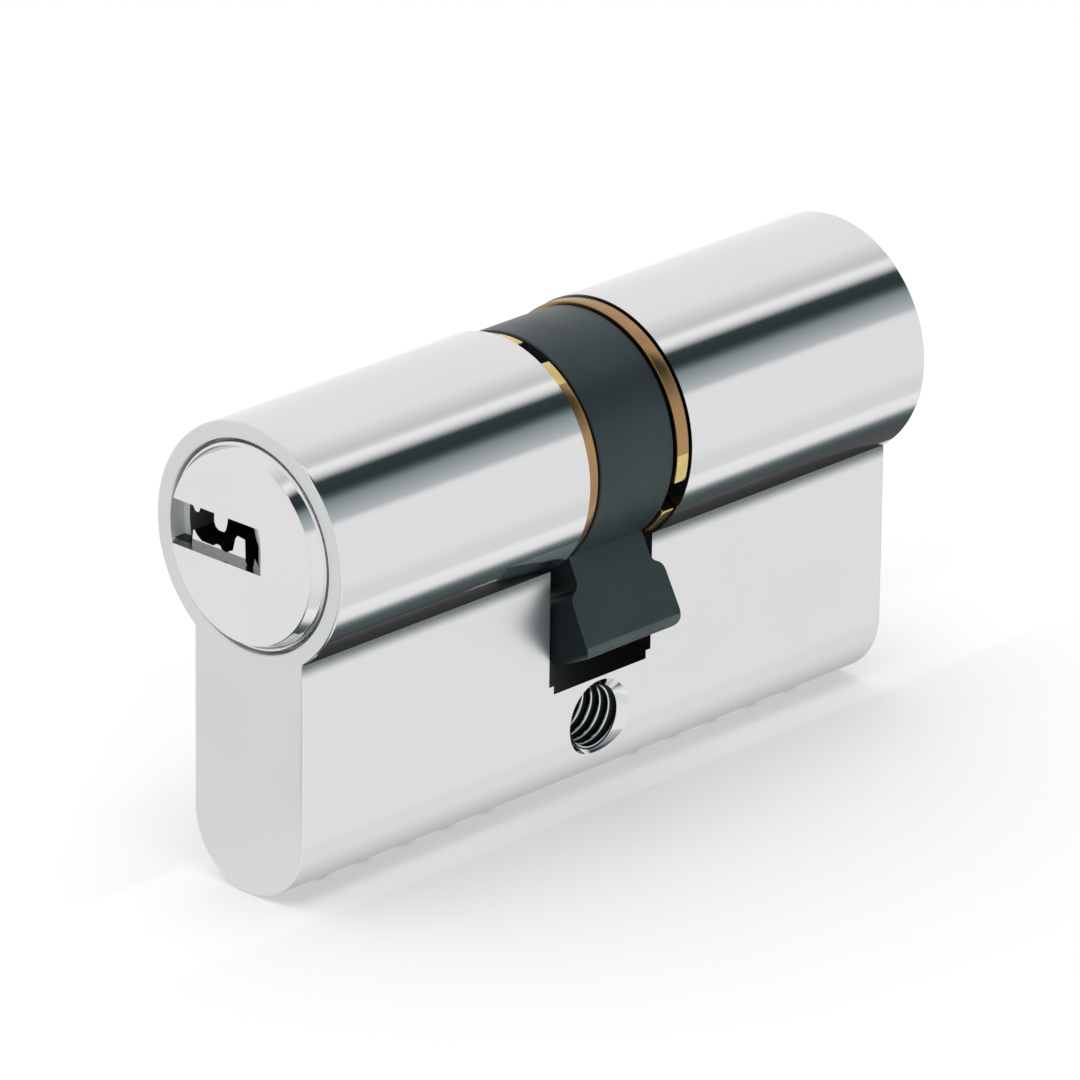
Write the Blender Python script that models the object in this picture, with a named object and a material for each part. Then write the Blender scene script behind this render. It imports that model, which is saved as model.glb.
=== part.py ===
"""Euro-profile double lock cylinder: housing, two plugs, cam, clutch, circlips and ten pin stacks.

Metres, +Z up. The origin is the centre of the fixing-screw hole. +X runs along the barrel, from the
outer end (side A) to the inner end (side B). The cam's nose leans towards -Y at rest.
"""

import math

import bmesh
import bpy
from mathutils import Matrix, Vector

MM = 0.001

# Housing section and lengths
BARREL_RADIUS = 8.5 * MM
WEB_WIDTH = 10.0 * MM
OVERALL_HEIGHT = 33.0 * MM
HALF_LENGTH_A = 28.0 * MM
HALF_LENGTH_B = 28.0 * MM

# Fixing-screw hole, M5
SCREW_BELOW_AXIS = 18.9 * MM
SCREW_HOLE_RADIUS = 2.1 * MM
SCREW_MOUTH_RADIUS = 2.85 * MM

# Clearance between neighbours that move or rest on each other
RUNNING_GAP = 0.3 * MM

# Cam window
CAM_WIDTH = 7.0 * MM
CIRCLIP_WIDTH = 0.9 * MM
CIRCLIP_GAP = 0.25 * MM
WINDOW_BELOW_AXIS = 15.2 * MM
WINDOW_STEP_INSET = 0.45 * MM
WINDOW_STEP_DEPTH = 0.6 * MM

# Plug
PLUG_RADIUS = 6.5 * MM
HEAD_PROUD = 0.72 * MM
HEAD_EDGE = 0.2 * MM
FLANGE_OVERHANG = 0.5 * MM
FLANGE_THICKNESS = 0.72 * MM
FLANGE_SETBACK = 0.33 * MM
TAIL_STEP = 0.5 * MM
TAIL_END = 2.0 * MM
GROOVE_DEPTH = 0.8 * MM

# Key pocket in the plug's face, and the keyway behind it
POCKET_FLOOR = 1.3 * MM
POCKET_CEILING = 1.88 * MM
POCKET_END = 1.85 * MM
POCKET_DEPTH = 0.72 * MM
POCKET_RAMP = 1.4 * MM
KEYWAY_FLOOR = 1.3 * MM
KEYWAY_CEILING = 1.75 * MM
KEYWAY_END = 1.75 * MM
KEYWAY_END_HEIGHT = 0.0 * MM
KEYWAY_END_WALL = 1.0 * MM

# Wards, as (across, height) pairs, measured from the plug's axis and from the keyway's floor or ceiling
WARD_LOW_WIDE = [
    (5.20, 0.00), (5.10, 1.02), (4.98, 1.10), (4.75, 0.82), (4.30, 0.50), (3.25, 0.48), (2.90, 0.68),
    (2.60, 0.65), (2.45, 0.45), (2.20, 0.36), (1.95, 0.36), (1.69, 0.54), (1.42, 0.65), (1.19, 1.54),
    (1.00, 1.80), (0.30, 1.72), (0.25, 0.20), (0.12, 0.00),
]
WARD_LOW_END = [(-0.45, 0.00), (-0.58, 0.33), (-0.69, 0.71), (-1.05, 0.48), (-1.20, 0.35)]
WARD_HIGH_END = [(-1.12, 1.12), (-0.84, 0.77), (-0.50, 0.00)]
WARD_HIGH_MIDDLE = [
    (1.84, 0.00), (1.93, 0.70), (2.07, 1.17), (2.22, 1.35), (2.71, 1.35), (3.00, 1.17), (3.14, 0.83),
    (3.15, 0.00),
]
WARD_HIGH_RIM = [(4.42, 0.00), (4.46, 0.46), (4.60, 0.63), (4.85, 0.62), (5.06, 0.36), (5.20, 0.00)]

# Circlips
CIRCLIP_BELOW_BARREL = 0.4 * MM
CIRCLIP_BORE_GAP = 0.3 * MM
CIRCLIP_MOUTH = math.radians(17.0)
CIRCLIP_MOUTH_AT_A = math.radians(105.0)
CIRCLIP_MOUTH_AT_B = math.radians(-153.0)

# Cam
CAM_BELOW_BARREL = 0.33 * MM
CAM_GROOVE_DEPTH = 0.9 * MM
CAM_GROOVE_WIDTH = 3.4 * MM
NOSE_TO_WINDOW_FLOOR = 0.5 * MM
NOSE_THICKNESS = 3.9 * MM
NOSE_OVERHANG = 1.1 * MM
NOSE_SHOULDER_OVERHANG = 0.65 * MM
NOSE_NECK_HEIGHT = 1.93 * MM
NOSE_TIP_ROUND = 0.85 * MM
NOSE_ANGLE = math.radians(-117.0)

# Clutch
CLUTCH_DISC_GAP = 0.5 * MM
CLUTCH_DISC_THICKNESS = 1.4 * MM
CLUTCH_TONGUE_LENGTH = 1.1 * MM
CLUTCH_TONGUE_INSET = 0.8 * MM
TAIL_SLOT_WIDTH = 3.0 * MM
TAIL_SLOT_DEPTH = 1.2 * MM
TAIL_TO_DISC = 0.2 * MM

# Pin stacks
PIN_COUNT = 5
PIN_PITCH = 3.9 * MM
PIN_TO_WINDOW_WALL = 0.7 * MM
PIN_RADIUS = 1.2 * MM
PIN_EDGE = 0.25 * MM
KEY_PIN_TOP_BELOW_AXIS = 0.32 * MM
KEY_PIN_CUTS = [0.5 * MM, 0.9 * MM, 0.2 * MM, 0.7 * MM, 0.0 * MM]
KEY_PIN_SHORT_OF_BORE = 0.38 * MM
DRIVER_LENGTH = 4.5 * MM
PLUG_PIN_HOLE_TOP = 0.6 * MM
CHAMBER_PLUG_LENGTH = 1.6 * MM
CHAMBER_PLUG_INSET = 0.3 * MM
SPRING_WIRE_RADIUS = 0.17 * MM
SPRING_TURNS = 6
SPRING_STEPS_PER_TURN = 7

# Facets on round pieces
ROUND = 48
ROUND_SMALL = 14
ROUND_CIRCLIP = 40
ROUND_BARREL = 44
ROUND_FOOT = 12

# Sizes that follow from the ones above
BORE_RADIUS = PLUG_RADIUS + RUNNING_GAP
FLANGE_RADIUS = PLUG_RADIUS + FLANGE_OVERHANG
MOUTH_RADIUS = FLANGE_RADIUS + RUNNING_GAP
MOUTH_DEPTH = FLANGE_SETBACK + FLANGE_THICKNESS + RUNNING_GAP
TAIL_RADIUS = PLUG_RADIUS - TAIL_STEP
GROOVE_RADIUS = TAIL_RADIUS - GROOVE_DEPTH
CIRCLIP_RADIUS = BARREL_RADIUS - CIRCLIP_BELOW_BARREL
CIRCLIP_BORE_RADIUS = GROOVE_RADIUS + CIRCLIP_BORE_GAP
WINDOW_WIDTH = CAM_WIDTH + 2 * (CIRCLIP_WIDTH + 2 * CIRCLIP_GAP)
WINDOW_STEP_WIDTH = WINDOW_WIDTH - 2 * WINDOW_STEP_INSET
CAM_RADIUS = BARREL_RADIUS - CAM_BELOW_BARREL
CAM_BORE_RADIUS = TAIL_RADIUS + RUNNING_GAP
CAM_GROOVE_RADIUS = CAM_BORE_RADIUS + CAM_GROOVE_DEPTH
NOSE_REACH = WINDOW_BELOW_AXIS - NOSE_TO_WINDOW_FLOOR
NOSE_NECK_REACH = CAM_RADIUS + NOSE_NECK_HEIGHT
NOSE_WIDTH = CAM_WIDTH + 2 * NOSE_OVERHANG
NOSE_SHOULDER_WIDTH = CAM_WIDTH + 2 * NOSE_SHOULDER_OVERHANG
CLUTCH_DISC_RADIUS = CAM_BORE_RADIUS - CLUTCH_DISC_GAP
CLUTCH_TONGUE_SPAN = 2 * (TAIL_RADIUS - CLUTCH_TONGUE_INSET)
CHAMBER_RADIUS = PIN_RADIUS + RUNNING_GAP
LAST_PIN_FROM_MIDDLE = WINDOW_WIDTH / 2 + PIN_TO_WINDOW_WALL + CHAMBER_RADIUS
KEYWAY_BLIND = WINDOW_WIDTH / 2 + KEYWAY_END_WALL
KEY_PIN_LONGEST = BORE_RADIUS - KEY_PIN_SHORT_OF_BORE - KEY_PIN_TOP_BELOW_AXIS
AXIS = SCREW_BELOW_AXIS
FOOT = AXIS - (OVERALL_HEIGHT - BARREL_RADIUS)
WINDOW_FLOOR = AXIS - WINDOW_BELOW_AXIS


def material(name, colour, roughness, metallic):
    """Returns a Principled material."""
    made = bpy.data.materials.new(name)
    made.use_nodes = True
    shader = made.node_tree.nodes["Principled BSDF"]
    shader.inputs["Base Color"].default_value = (*colour, 1.0)
    shader.inputs["Roughness"].default_value = roughness
    shader.inputs["Metallic"].default_value = metallic
    return made


def finish(bm, name, look=None, angle=35.0):
    """Turns a bmesh into an object, shaded smooth but for its sharp edges."""
    bmesh.ops.recalc_face_normals(bm, faces=bm.faces)
    mesh = bpy.data.meshes.new(name)
    bm.to_mesh(mesh)
    bm.free()
    obj = bpy.data.objects.new(name, mesh)
    bpy.context.scene.collection.objects.link(obj)
    mesh.shade_smooth()
    mesh.set_sharp_from_angle(angle=math.radians(angle))
    if look:
        mesh.materials.append(look)
    return obj


def prism(outline, along, low, high):
    """Extrudes a closed outline. along is the axis letter; the outline's pairs are the other two axes."""
    bm = bmesh.new()
    place = {
        "X": lambda a, b: Vector((low, a, b)),
        "Y": lambda a, b: Vector((a, low, b)),
        "Z": lambda a, b: Vector((a, b, low)),
    }[along]
    step = {"X": Vector((1, 0, 0)), "Y": Vector((0, 1, 0)), "Z": Vector((0, 0, 1))}[along]
    face = bm.faces.new([bm.verts.new(place(a, b)) for a, b in outline])
    grown = bmesh.ops.extrude_face_region(bm, geom=[face])
    moved = [item for item in grown["geom"] if isinstance(item, bmesh.types.BMVert)]
    bmesh.ops.translate(bm, verts=moved, vec=step * (high - low))
    return bm


def turned(profile, centre, axis, start, steps):
    """Spins a profile of (along, radius) pairs once round a line. Its ends lie on the line."""
    bm = bmesh.new()
    axis = Vector(axis)
    start = Vector(start)
    verts = [bm.verts.new(Vector(centre) + axis * a + start * r) for a, r in profile]
    edges = [bm.edges.new(pair) for pair in zip(verts, verts[1:])]
    bmesh.ops.spin(
        bm, geom=verts + edges, cent=centre, axis=axis, angle=math.tau, steps=steps, use_merge=True
    )
    bmesh.ops.remove_doubles(bm, verts=bm.verts, dist=1e-6)
    return bm


def rod(radius, low, high, x, y=0.0, edge=0.0, steps=ROUND_SMALL):
    """A vertical round rod, with its ends' edges cut at 45 degrees where edge is given."""
    if edge:
        profile = [(low, 0), (low, radius - edge), (low + edge, radius)]
        profile += [(high - edge, radius), (high, radius - edge), (high, 0)]
    else:
        profile = [(low, 0), (low, radius), (high, radius), (high, 0)]
    return turned(profile, (x, y, 0), (0, 0, 1), (1, 0, 0), steps)


def arc(centre, radius, first, last, steps):
    """Points along an arc, its ends included."""
    return [
        (
            centre[0] + radius * math.cos(first + (last - first) * i / steps),
            centre[1] + radius * math.sin(first + (last - first) * i / steps),
        )
        for i in range(steps + 1)
    ]


def cutter(bm, name):
    """A helper object that only cuts."""
    obj = finish(bm, name)
    obj.hide_render = True
    obj.display_type = "WIRE"
    return obj


def combine(obj, other, operation="DIFFERENCE"):
    """Adds an exact Boolean modifier."""
    modifier = obj.modifiers.new(other.name, "BOOLEAN")
    modifier.operation = operation
    modifier.solver = "EXACT"
    modifier.object = other


def apply_cuts(obj, angle=35.0):
    """Applies an object's Booleans, removes the helpers and marks the new sharp edges."""
    helpers = [modifier.object for modifier in obj.modifiers]
    for helper in list(helpers):
        helpers += [modifier.object for modifier in helper.modifiers]
    ready = obj.evaluated_get(bpy.context.evaluated_depsgraph_get())
    mesh = bpy.data.meshes.new_from_object(ready)
    obj.modifiers.clear()
    obj.data = mesh
    mesh.name = obj.name
    mesh.shade_smooth()
    mesh.set_sharp_from_angle(angle=math.radians(angle))
    for helper in helpers:
        bpy.data.objects.remove(helper, do_unlink=True)
    return obj


def turn_about_z(bm):
    """Turns a bmesh half a turn about the vertical line through the origin."""
    bmesh.ops.rotate(bm, verts=bm.verts, cent=(0, 0, 0), matrix=Matrix.Rotation(math.pi, 3, "Z"))
    return bm


def put_origin_on_axis(obj):
    """Moves an object's origin to the barrel's axis, with its shape left where it is."""
    obj.data.transform(Matrix.Translation((0, 0, -AXIS)))
    obj.location = (0, 0, AXIS)


def housing_outline():
    """The section: round barrel, flat web and round foot."""
    half = WEB_WIDTH / 2
    join = -math.acos(half / BARREL_RADIUS)
    barrel = arc((0, AXIS), BARREL_RADIUS, join, math.pi - join, ROUND_BARREL)
    foot = arc((0, FOOT + half), half, math.pi, math.tau, ROUND_FOOT)
    return barrel + foot


def pin_places(side):
    """The pins' X positions, from the face inwards. side is -1 for A and 1 for B."""
    inner_first = [side * (LAST_PIN_FROM_MIDDLE + PIN_PITCH * i) for i in range(PIN_COUNT)]
    return inner_first[::-1]


def make_housing(look):
    """One body, cut by the plugs' bores, the cam window, the screw hole and the pin chambers."""
    housing = finish(prism(housing_outline(), "X", -HALF_LENGTH_A, HALF_LENGTH_B), "housing", look)

    beyond = 2 * MM
    bore = [
        (-HALF_LENGTH_A - beyond, 0),
        (-HALF_LENGTH_A - beyond, MOUTH_RADIUS),
        (-HALF_LENGTH_A + MOUTH_DEPTH, MOUTH_RADIUS),
        (-HALF_LENGTH_A + MOUTH_DEPTH, BORE_RADIUS),
        (HALF_LENGTH_B - MOUTH_DEPTH, BORE_RADIUS),
        (HALF_LENGTH_B - MOUTH_DEPTH, MOUTH_RADIUS),
        (HALF_LENGTH_B + beyond, MOUTH_RADIUS),
        (HALF_LENGTH_B + beyond, 0),
    ]
    combine(housing, cutter(turned(bore, (0, 0, AXIS), (1, 0, 0), (0, 0, 1), ROUND), "cut_bore"))

    wide = WINDOW_WIDTH / 2
    narrow = WINDOW_STEP_WIDTH / 2
    step = WINDOW_FLOOR - WINDOW_STEP_DEPTH
    top = AXIS + BARREL_RADIUS + beyond
    window = [(-narrow, step), (narrow, step), (narrow, WINDOW_FLOOR), (wide, WINDOW_FLOOR)]
    window += [(wide, top), (-wide, top), (-wide, WINDOW_FLOOR), (-narrow, WINDOW_FLOOR)]
    reach = BARREL_RADIUS + beyond
    combine(housing, cutter(prism(window, "Y", -reach, reach), "cut_window"))

    half = WEB_WIDTH / 2
    sink = SCREW_MOUTH_RADIUS - SCREW_HOLE_RADIUS
    screw = [
        (-half - beyond, 0),
        (-half - beyond, SCREW_MOUTH_RADIUS + beyond),
        (-half + sink, SCREW_HOLE_RADIUS),
        (half - sink, SCREW_HOLE_RADIUS),
        (half + beyond, SCREW_MOUTH_RADIUS + beyond),
        (half + beyond, 0),
    ]
    combine(housing, cutter(turned(screw, (0, 0, 0), (0, 1, 0), (0, 0, 1), 32), "cut_screw_hole"))

    chambers = bmesh.new()
    for x in pin_places(-1) + pin_places(1):
        mesh = bpy.data.meshes.new("chamber")
        bm = rod(CHAMBER_RADIUS, FOOT - beyond, AXIS - BORE_RADIUS + CHAMBER_RADIUS, x)
        bm.to_mesh(mesh)
        bm.free()
        chambers.from_mesh(mesh)
        bpy.data.meshes.remove(mesh)
    combine(housing, cutter(chambers, "cut_chambers"))
    return apply_cuts(housing)


def keyway_outline():
    """The keyway's section, open past the plug's rim on the +Y side of plug A."""
    rim = FLANGE_RADIUS + 1 * MM
    floor = AXIS - KEYWAY_FLOOR
    ceiling = AXIS + KEYWAY_CEILING
    low = [(y * MM, floor + h * MM) for y, h in WARD_LOW_WIDE + WARD_LOW_END]
    end = [(-KEYWAY_END, low[-1][1]), (-KEYWAY_END, AXIS + KEYWAY_END_HEIGHT)]
    high = [(y * MM, ceiling - h * MM) for y, h in WARD_HIGH_END + WARD_HIGH_MIDDLE + WARD_HIGH_RIM]
    return [(rim, floor)] + low + end + high + [(rim, ceiling)]


def make_plug(side, look):
    """The plug of side A (-1) or B (1), with its key pocket, keyway, pin holes and clutch slot."""
    name = "plug_a" if side < 0 else "plug_b"
    length = HALF_LENGTH_A if side < 0 else HALF_LENGTH_B
    tag = name + "_cut_"
    face = -length - HEAD_PROUD
    flange = -length + FLANGE_SETBACK
    groove = -WINDOW_WIDTH / 2
    tail = -CAM_WIDTH / 2
    profile = [
        (face, 0),
        (face, PLUG_RADIUS - HEAD_EDGE),
        (face + HEAD_EDGE, PLUG_RADIUS),
        (flange, PLUG_RADIUS),
        (flange, FLANGE_RADIUS),
        (flange + FLANGE_THICKNESS, FLANGE_RADIUS),
        (flange + FLANGE_THICKNESS, PLUG_RADIUS),
        (groove, PLUG_RADIUS),
        (groove, GROOVE_RADIUS),
        (tail, GROOVE_RADIUS),
        (tail, TAIL_RADIUS),
        (-TAIL_END, TAIL_RADIUS),
        (-TAIL_END, 0),
    ]
    plug_bm = turned(profile, (0, 0, AXIS), (1, 0, 0), (0, 0, 1), ROUND)

    beyond = 1 * MM
    rim = FLANGE_RADIUS + beyond
    floor_x = face + POCKET_DEPTH
    plan = [
        (face - beyond, rim),
        (floor_x, rim),
        (floor_x, -POCKET_END + POCKET_RAMP),
        (face + 0.2 * MM, -POCKET_END),
        (face - beyond, -POCKET_END),
    ]
    pocket_bm = prism(plan, "Z", AXIS - POCKET_FLOOR, AXIS + POCKET_CEILING)
    keyway_bm = prism(keyway_outline(), "X", face - beyond, -KEYWAY_BLIND)

    slot = TAIL_SLOT_WIDTH / 2
    slot_bm = prism(
        [(-rim, AXIS - slot), (rim, AXIS - slot), (rim, AXIS + slot), (-rim, AXIS + slot)],
        "X",
        -TAIL_END - TAIL_SLOT_DEPTH,
        -TAIL_END + beyond,
    )

    holes_bm = bmesh.new()
    for x in pin_places(-1):
        mesh = bpy.data.meshes.new("pin_hole")
        bm = rod(CHAMBER_RADIUS, AXIS - PLUG_RADIUS - beyond, AXIS + PLUG_PIN_HOLE_TOP, x)
        bm.to_mesh(mesh)
        bm.free()
        holes_bm.from_mesh(mesh)
        bpy.data.meshes.remove(mesh)

    pieces = [plug_bm, pocket_bm, keyway_bm, slot_bm, holes_bm]
    if side > 0:
        pieces = [turn_about_z(bm) for bm in pieces]
    plug = finish(pieces[0], name, look)
    for bm, what in zip(pieces[1:], ["pocket", "keyway", "clutch_slot", "pin_holes"]):
        combine(plug, cutter(bm, tag + what))
    return apply_cuts(plug)


def make_circlip(side, look):
    """A flat open ring in the plug's groove, between the housing and the cam."""
    name = "circlip_a" if side < 0 else "circlip_b"
    at = CIRCLIP_MOUTH_AT_A if side < 0 else CIRCLIP_MOUTH_AT_B
    first = at + CIRCLIP_MOUTH / 2
    last = at + math.tau - CIRCLIP_MOUTH / 2
    outer = arc((0, AXIS), CIRCLIP_RADIUS, first, last, ROUND_CIRCLIP)
    inner = arc((0, AXIS), CIRCLIP_BORE_RADIUS, last, first, ROUND_CIRCLIP)
    near = CAM_WIDTH / 2 + CIRCLIP_GAP
    span = sorted((side * near, side * (near + CIRCLIP_WIDTH)))
    circlip = finish(prism(outer + inner, "X", *span), name, look)
    put_origin_on_axis(circlip)
    return circlip


def nose_plan():
    """The nose seen square to its flank, as (X, distance from the axis): neck, shoulders, round corners."""
    neck = CAM_WIDTH / 2
    shoulder = NOSE_SHOULDER_WIDTH / 2
    tip = NOSE_WIDTH / 2
    root = (CAM_RADIUS + CAM_BORE_RADIUS) / 2
    corner = 0.7 * MM
    right = [(neck, root), (neck, NOSE_NECK_REACH)]
    right += arc((shoulder - corner, NOSE_NECK_REACH + corner), corner, -math.pi / 2, -math.radians(8), 5)
    right += arc((tip - corner, NOSE_REACH - corner - 0.2 * MM), corner, -math.radians(4), math.radians(72), 5)
    right += [(tip - 1.6 * MM, NOSE_REACH)]
    left = [(-x, r) for x, r in reversed(right)]
    return right + left


def nose_section():
    """The nose along the barrel, as (across, distance from the axis): flat flanks and a rounded tip."""
    flank = NOSE_THICKNESS / 2
    root = (CAM_RADIUS + CAM_BORE_RADIUS) / 2 - 0.5 * MM
    round_ = NOSE_TIP_ROUND
    right = [(flank, root)] + arc((flank - round_, NOSE_REACH - round_), round_, 0, math.pi / 2, 5)
    left = [(-y, r) for y, r in reversed(right)]
    return right + left


def make_cam(look):
    """A ring with two inner grooves for the clutch, joined to a flat nose."""
    half = CAM_WIDTH / 2
    outline = [
        (-half, CAM_BORE_RADIUS),
        (-half, CAM_RADIUS),
        (half, CAM_RADIUS),
        (half, CAM_BORE_RADIUS),
        (-half, CAM_BORE_RADIUS),
    ]
    cam = finish(turned(outline, (0, 0, AXIS), (1, 0, 0), (0, 0, 1), ROUND), "cam", look)

    turn = Matrix.Translation((0, 0, AXIS)) @ Matrix.Rotation(NOSE_ANGLE - math.pi / 2, 4, "X")
    flank = NOSE_THICKNESS / 2
    plan = prism(nose_plan(), "Y", -flank - 1 * MM, flank + 1 * MM)
    bmesh.ops.transform(plan, matrix=turn, verts=plan.verts)
    nose = cutter(plan, "join_nose")
    section = prism(nose_section(), "X", -NOSE_WIDTH, NOSE_WIDTH)
    bmesh.ops.transform(section, matrix=turn, verts=section.verts)
    combine(nose, cutter(section, "nose_section"), "INTERSECT")
    combine(cam, nose, "UNION")

    groove = CAM_GROOVE_WIDTH / 2
    beyond = 1 * MM
    reach = CAM_GROOVE_RADIUS
    bar = [(-reach, AXIS - groove), (reach, AXIS - groove), (reach, AXIS + groove), (-reach, AXIS + groove)]
    combine(cam, cutter(prism(bar, "X", -half - beyond, half + beyond), "cut_clutch_grooves"))
    return apply_cuts(cam)


def make_clutch(look):
    """A disc with two lugs in the cam's grooves and a tongue on each face. It rests in plug A's slot."""
    disc_low = -TAIL_END + TAIL_TO_DISC
    disc_high = disc_low + CLUTCH_DISC_THICKNESS
    profile = [(disc_low, 0), (disc_low, CLUTCH_DISC_RADIUS), (disc_high, CLUTCH_DISC_RADIUS), (disc_high, 0)]
    clutch = finish(turned(profile, (0, 0, AXIS), (1, 0, 0), (0, 0, 1), 32), "clutch", look)
    lug = CAM_GROOVE_RADIUS - RUNNING_GAP
    side = CAM_GROOVE_WIDTH / 2 - RUNNING_GAP
    inset = 0.02 * MM
    lugs = [(-lug, AXIS - side), (lug, AXIS - side), (lug, AXIS + side), (-lug, AXIS + side)]
    combine(clutch, cutter(prism(lugs, "X", disc_low + inset, disc_high - inset), "join_lugs"), "UNION")
    tongue = CLUTCH_TONGUE_SPAN / 2
    side = TAIL_SLOT_WIDTH / 2 - RUNNING_GAP
    bar = [(-tongue, AXIS - side), (tongue, AXIS - side), (tongue, AXIS + side), (-tongue, AXIS + side)]
    low = disc_low - CLUTCH_TONGUE_LENGTH
    high = disc_high + CLUTCH_TONGUE_LENGTH
    combine(clutch, cutter(prism(bar, "X", low, high), "join_tongues"), "UNION")
    return apply_cuts(clutch)


def coil(x, low, high, radius, wire, turns, steps_per_turn):
    """A round-wire coil as one closed tube with capped ends, its centreline from low to high."""
    bm = bmesh.new()
    count = turns * steps_per_turn
    rings = []
    for i in range(count + 1):
        angle = math.tau * i / steps_per_turn
        centre = Vector((x + radius * math.cos(angle), radius * math.sin(angle), low + (high - low) * i / count))
        out = Vector((math.cos(angle), math.sin(angle), 0))
        up = Vector((0, 0, 1))
        rings.append(
            [
                bm.verts.new(centre + wire * (out * math.cos(math.tau * k / 4) + up * math.sin(math.tau * k / 4)))
                for k in range(4)
            ]
        )
    for a, b in zip(rings, rings[1:]):
        for k in range(4):
            bm.faces.new((a[k], a[(k + 1) % 4], b[(k + 1) % 4], b[k]))
    bm.faces.new(rings[0][::-1])
    bm.faces.new(rings[-1])
    return bm


def make_pin_stack(side, number, x, brass, steel):
    """Key pin, driver pin, spring and chamber plug on one vertical line. The pins part at the plug's surface."""
    letter = "a" if side < 0 else "b"
    tag = f"{letter}{number}"
    shear = AXIS - BORE_RADIUS
    key_low = shear + KEY_PIN_SHORT_OF_BORE
    length = KEY_PIN_LONGEST - KEY_PIN_CUTS[(number - 1) % len(KEY_PIN_CUTS)]
    key_pin = rod(PIN_RADIUS, key_low, key_low + length, x, edge=PIN_EDGE)
    finish(key_pin, "key_pin_" + tag, brass)

    driver_low = shear - DRIVER_LENGTH
    finish(rod(PIN_RADIUS, driver_low, shear, x, edge=PIN_EDGE), "driver_pin_" + tag, steel)

    stop_low = FOOT + CHAMBER_PLUG_INSET
    stop_high = stop_low + CHAMBER_PLUG_LENGTH
    finish(rod(PIN_RADIUS, stop_low, stop_high, x), "chamber_plug_" + tag, brass)

    wire = SPRING_WIRE_RADIUS
    gap = wire + RUNNING_GAP
    spring = coil(
        x, stop_high + gap, driver_low - gap, PIN_RADIUS - wire, wire, SPRING_TURNS, SPRING_STEPS_PER_TURN
    )
    finish(spring, "pin_spring_" + tag, steel, angle=70.0)


def main():
    """Builds every piece."""
    for obj in list(bpy.data.objects):
        bpy.data.objects.remove(obj, do_unlink=True)

    nickel = material("nickel_plate", (0.78, 0.79, 0.78), 0.16, 1.0)
    sintered = material("sintered_steel", (0.045, 0.055, 0.058), 0.42, 0.8)
    bronze = material("bronze", (0.50, 0.29, 0.14), 0.30, 1.0)
    brass = material("brass", (0.72, 0.54, 0.26), 0.28, 1.0)
    steel = material("spring_steel", (0.50, 0.51, 0.52), 0.28, 1.0)

    make_housing(nickel)
    for side in (-1, 1):
        put_origin_on_axis(make_plug(side, nickel))
        make_circlip(side, bronze)
        for number, x in enumerate(pin_places(side), start=1):
            make_pin_stack(side, number, x, brass, steel)
    put_origin_on_axis(make_cam(sintered))
    put_origin_on_axis(make_clutch(steel))


main()
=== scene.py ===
"""Finished look of a Euro-profile double lock cylinder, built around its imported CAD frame.

Metres, +Z up, the origin at the centre of the fixing-screw hole. +X runs along the barrel from the
outer end (side A) to the inner end (side B).
"""

import logging
import math
from collections.abc import Callable, Iterable
from dataclasses import dataclass, field
from enum import Enum

import bmesh
import bpy
from mathutils import Matrix, Vector


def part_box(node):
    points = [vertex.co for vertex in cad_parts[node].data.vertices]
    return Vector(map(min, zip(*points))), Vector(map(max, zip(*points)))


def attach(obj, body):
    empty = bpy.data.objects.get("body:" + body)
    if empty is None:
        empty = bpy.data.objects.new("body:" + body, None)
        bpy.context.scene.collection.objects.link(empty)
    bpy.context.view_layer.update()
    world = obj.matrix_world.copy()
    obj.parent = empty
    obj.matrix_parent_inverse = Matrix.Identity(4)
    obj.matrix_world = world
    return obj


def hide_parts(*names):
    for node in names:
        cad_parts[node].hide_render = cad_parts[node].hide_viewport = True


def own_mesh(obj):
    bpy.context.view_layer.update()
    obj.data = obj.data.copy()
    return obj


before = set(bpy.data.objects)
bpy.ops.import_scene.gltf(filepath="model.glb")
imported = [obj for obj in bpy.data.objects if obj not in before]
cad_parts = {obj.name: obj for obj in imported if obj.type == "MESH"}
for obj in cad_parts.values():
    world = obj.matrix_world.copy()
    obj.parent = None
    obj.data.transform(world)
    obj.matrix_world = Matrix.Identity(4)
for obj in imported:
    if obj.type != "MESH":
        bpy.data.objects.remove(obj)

LOG = logging.getLogger("lock_cylinder")
MM = 0.001
Colour = tuple[float, float, float]
Profile = list[tuple[float, float]]
Socket = bpy.types.NodeSocket

BEYOND = 1.0 * MM
MERGE = 1e-7
PIN_NUMBERS = range(1, 6)

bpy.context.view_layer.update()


# ----------------------------------------------------------------------------------------------
# Node trees
# ----------------------------------------------------------------------------------------------


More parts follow.
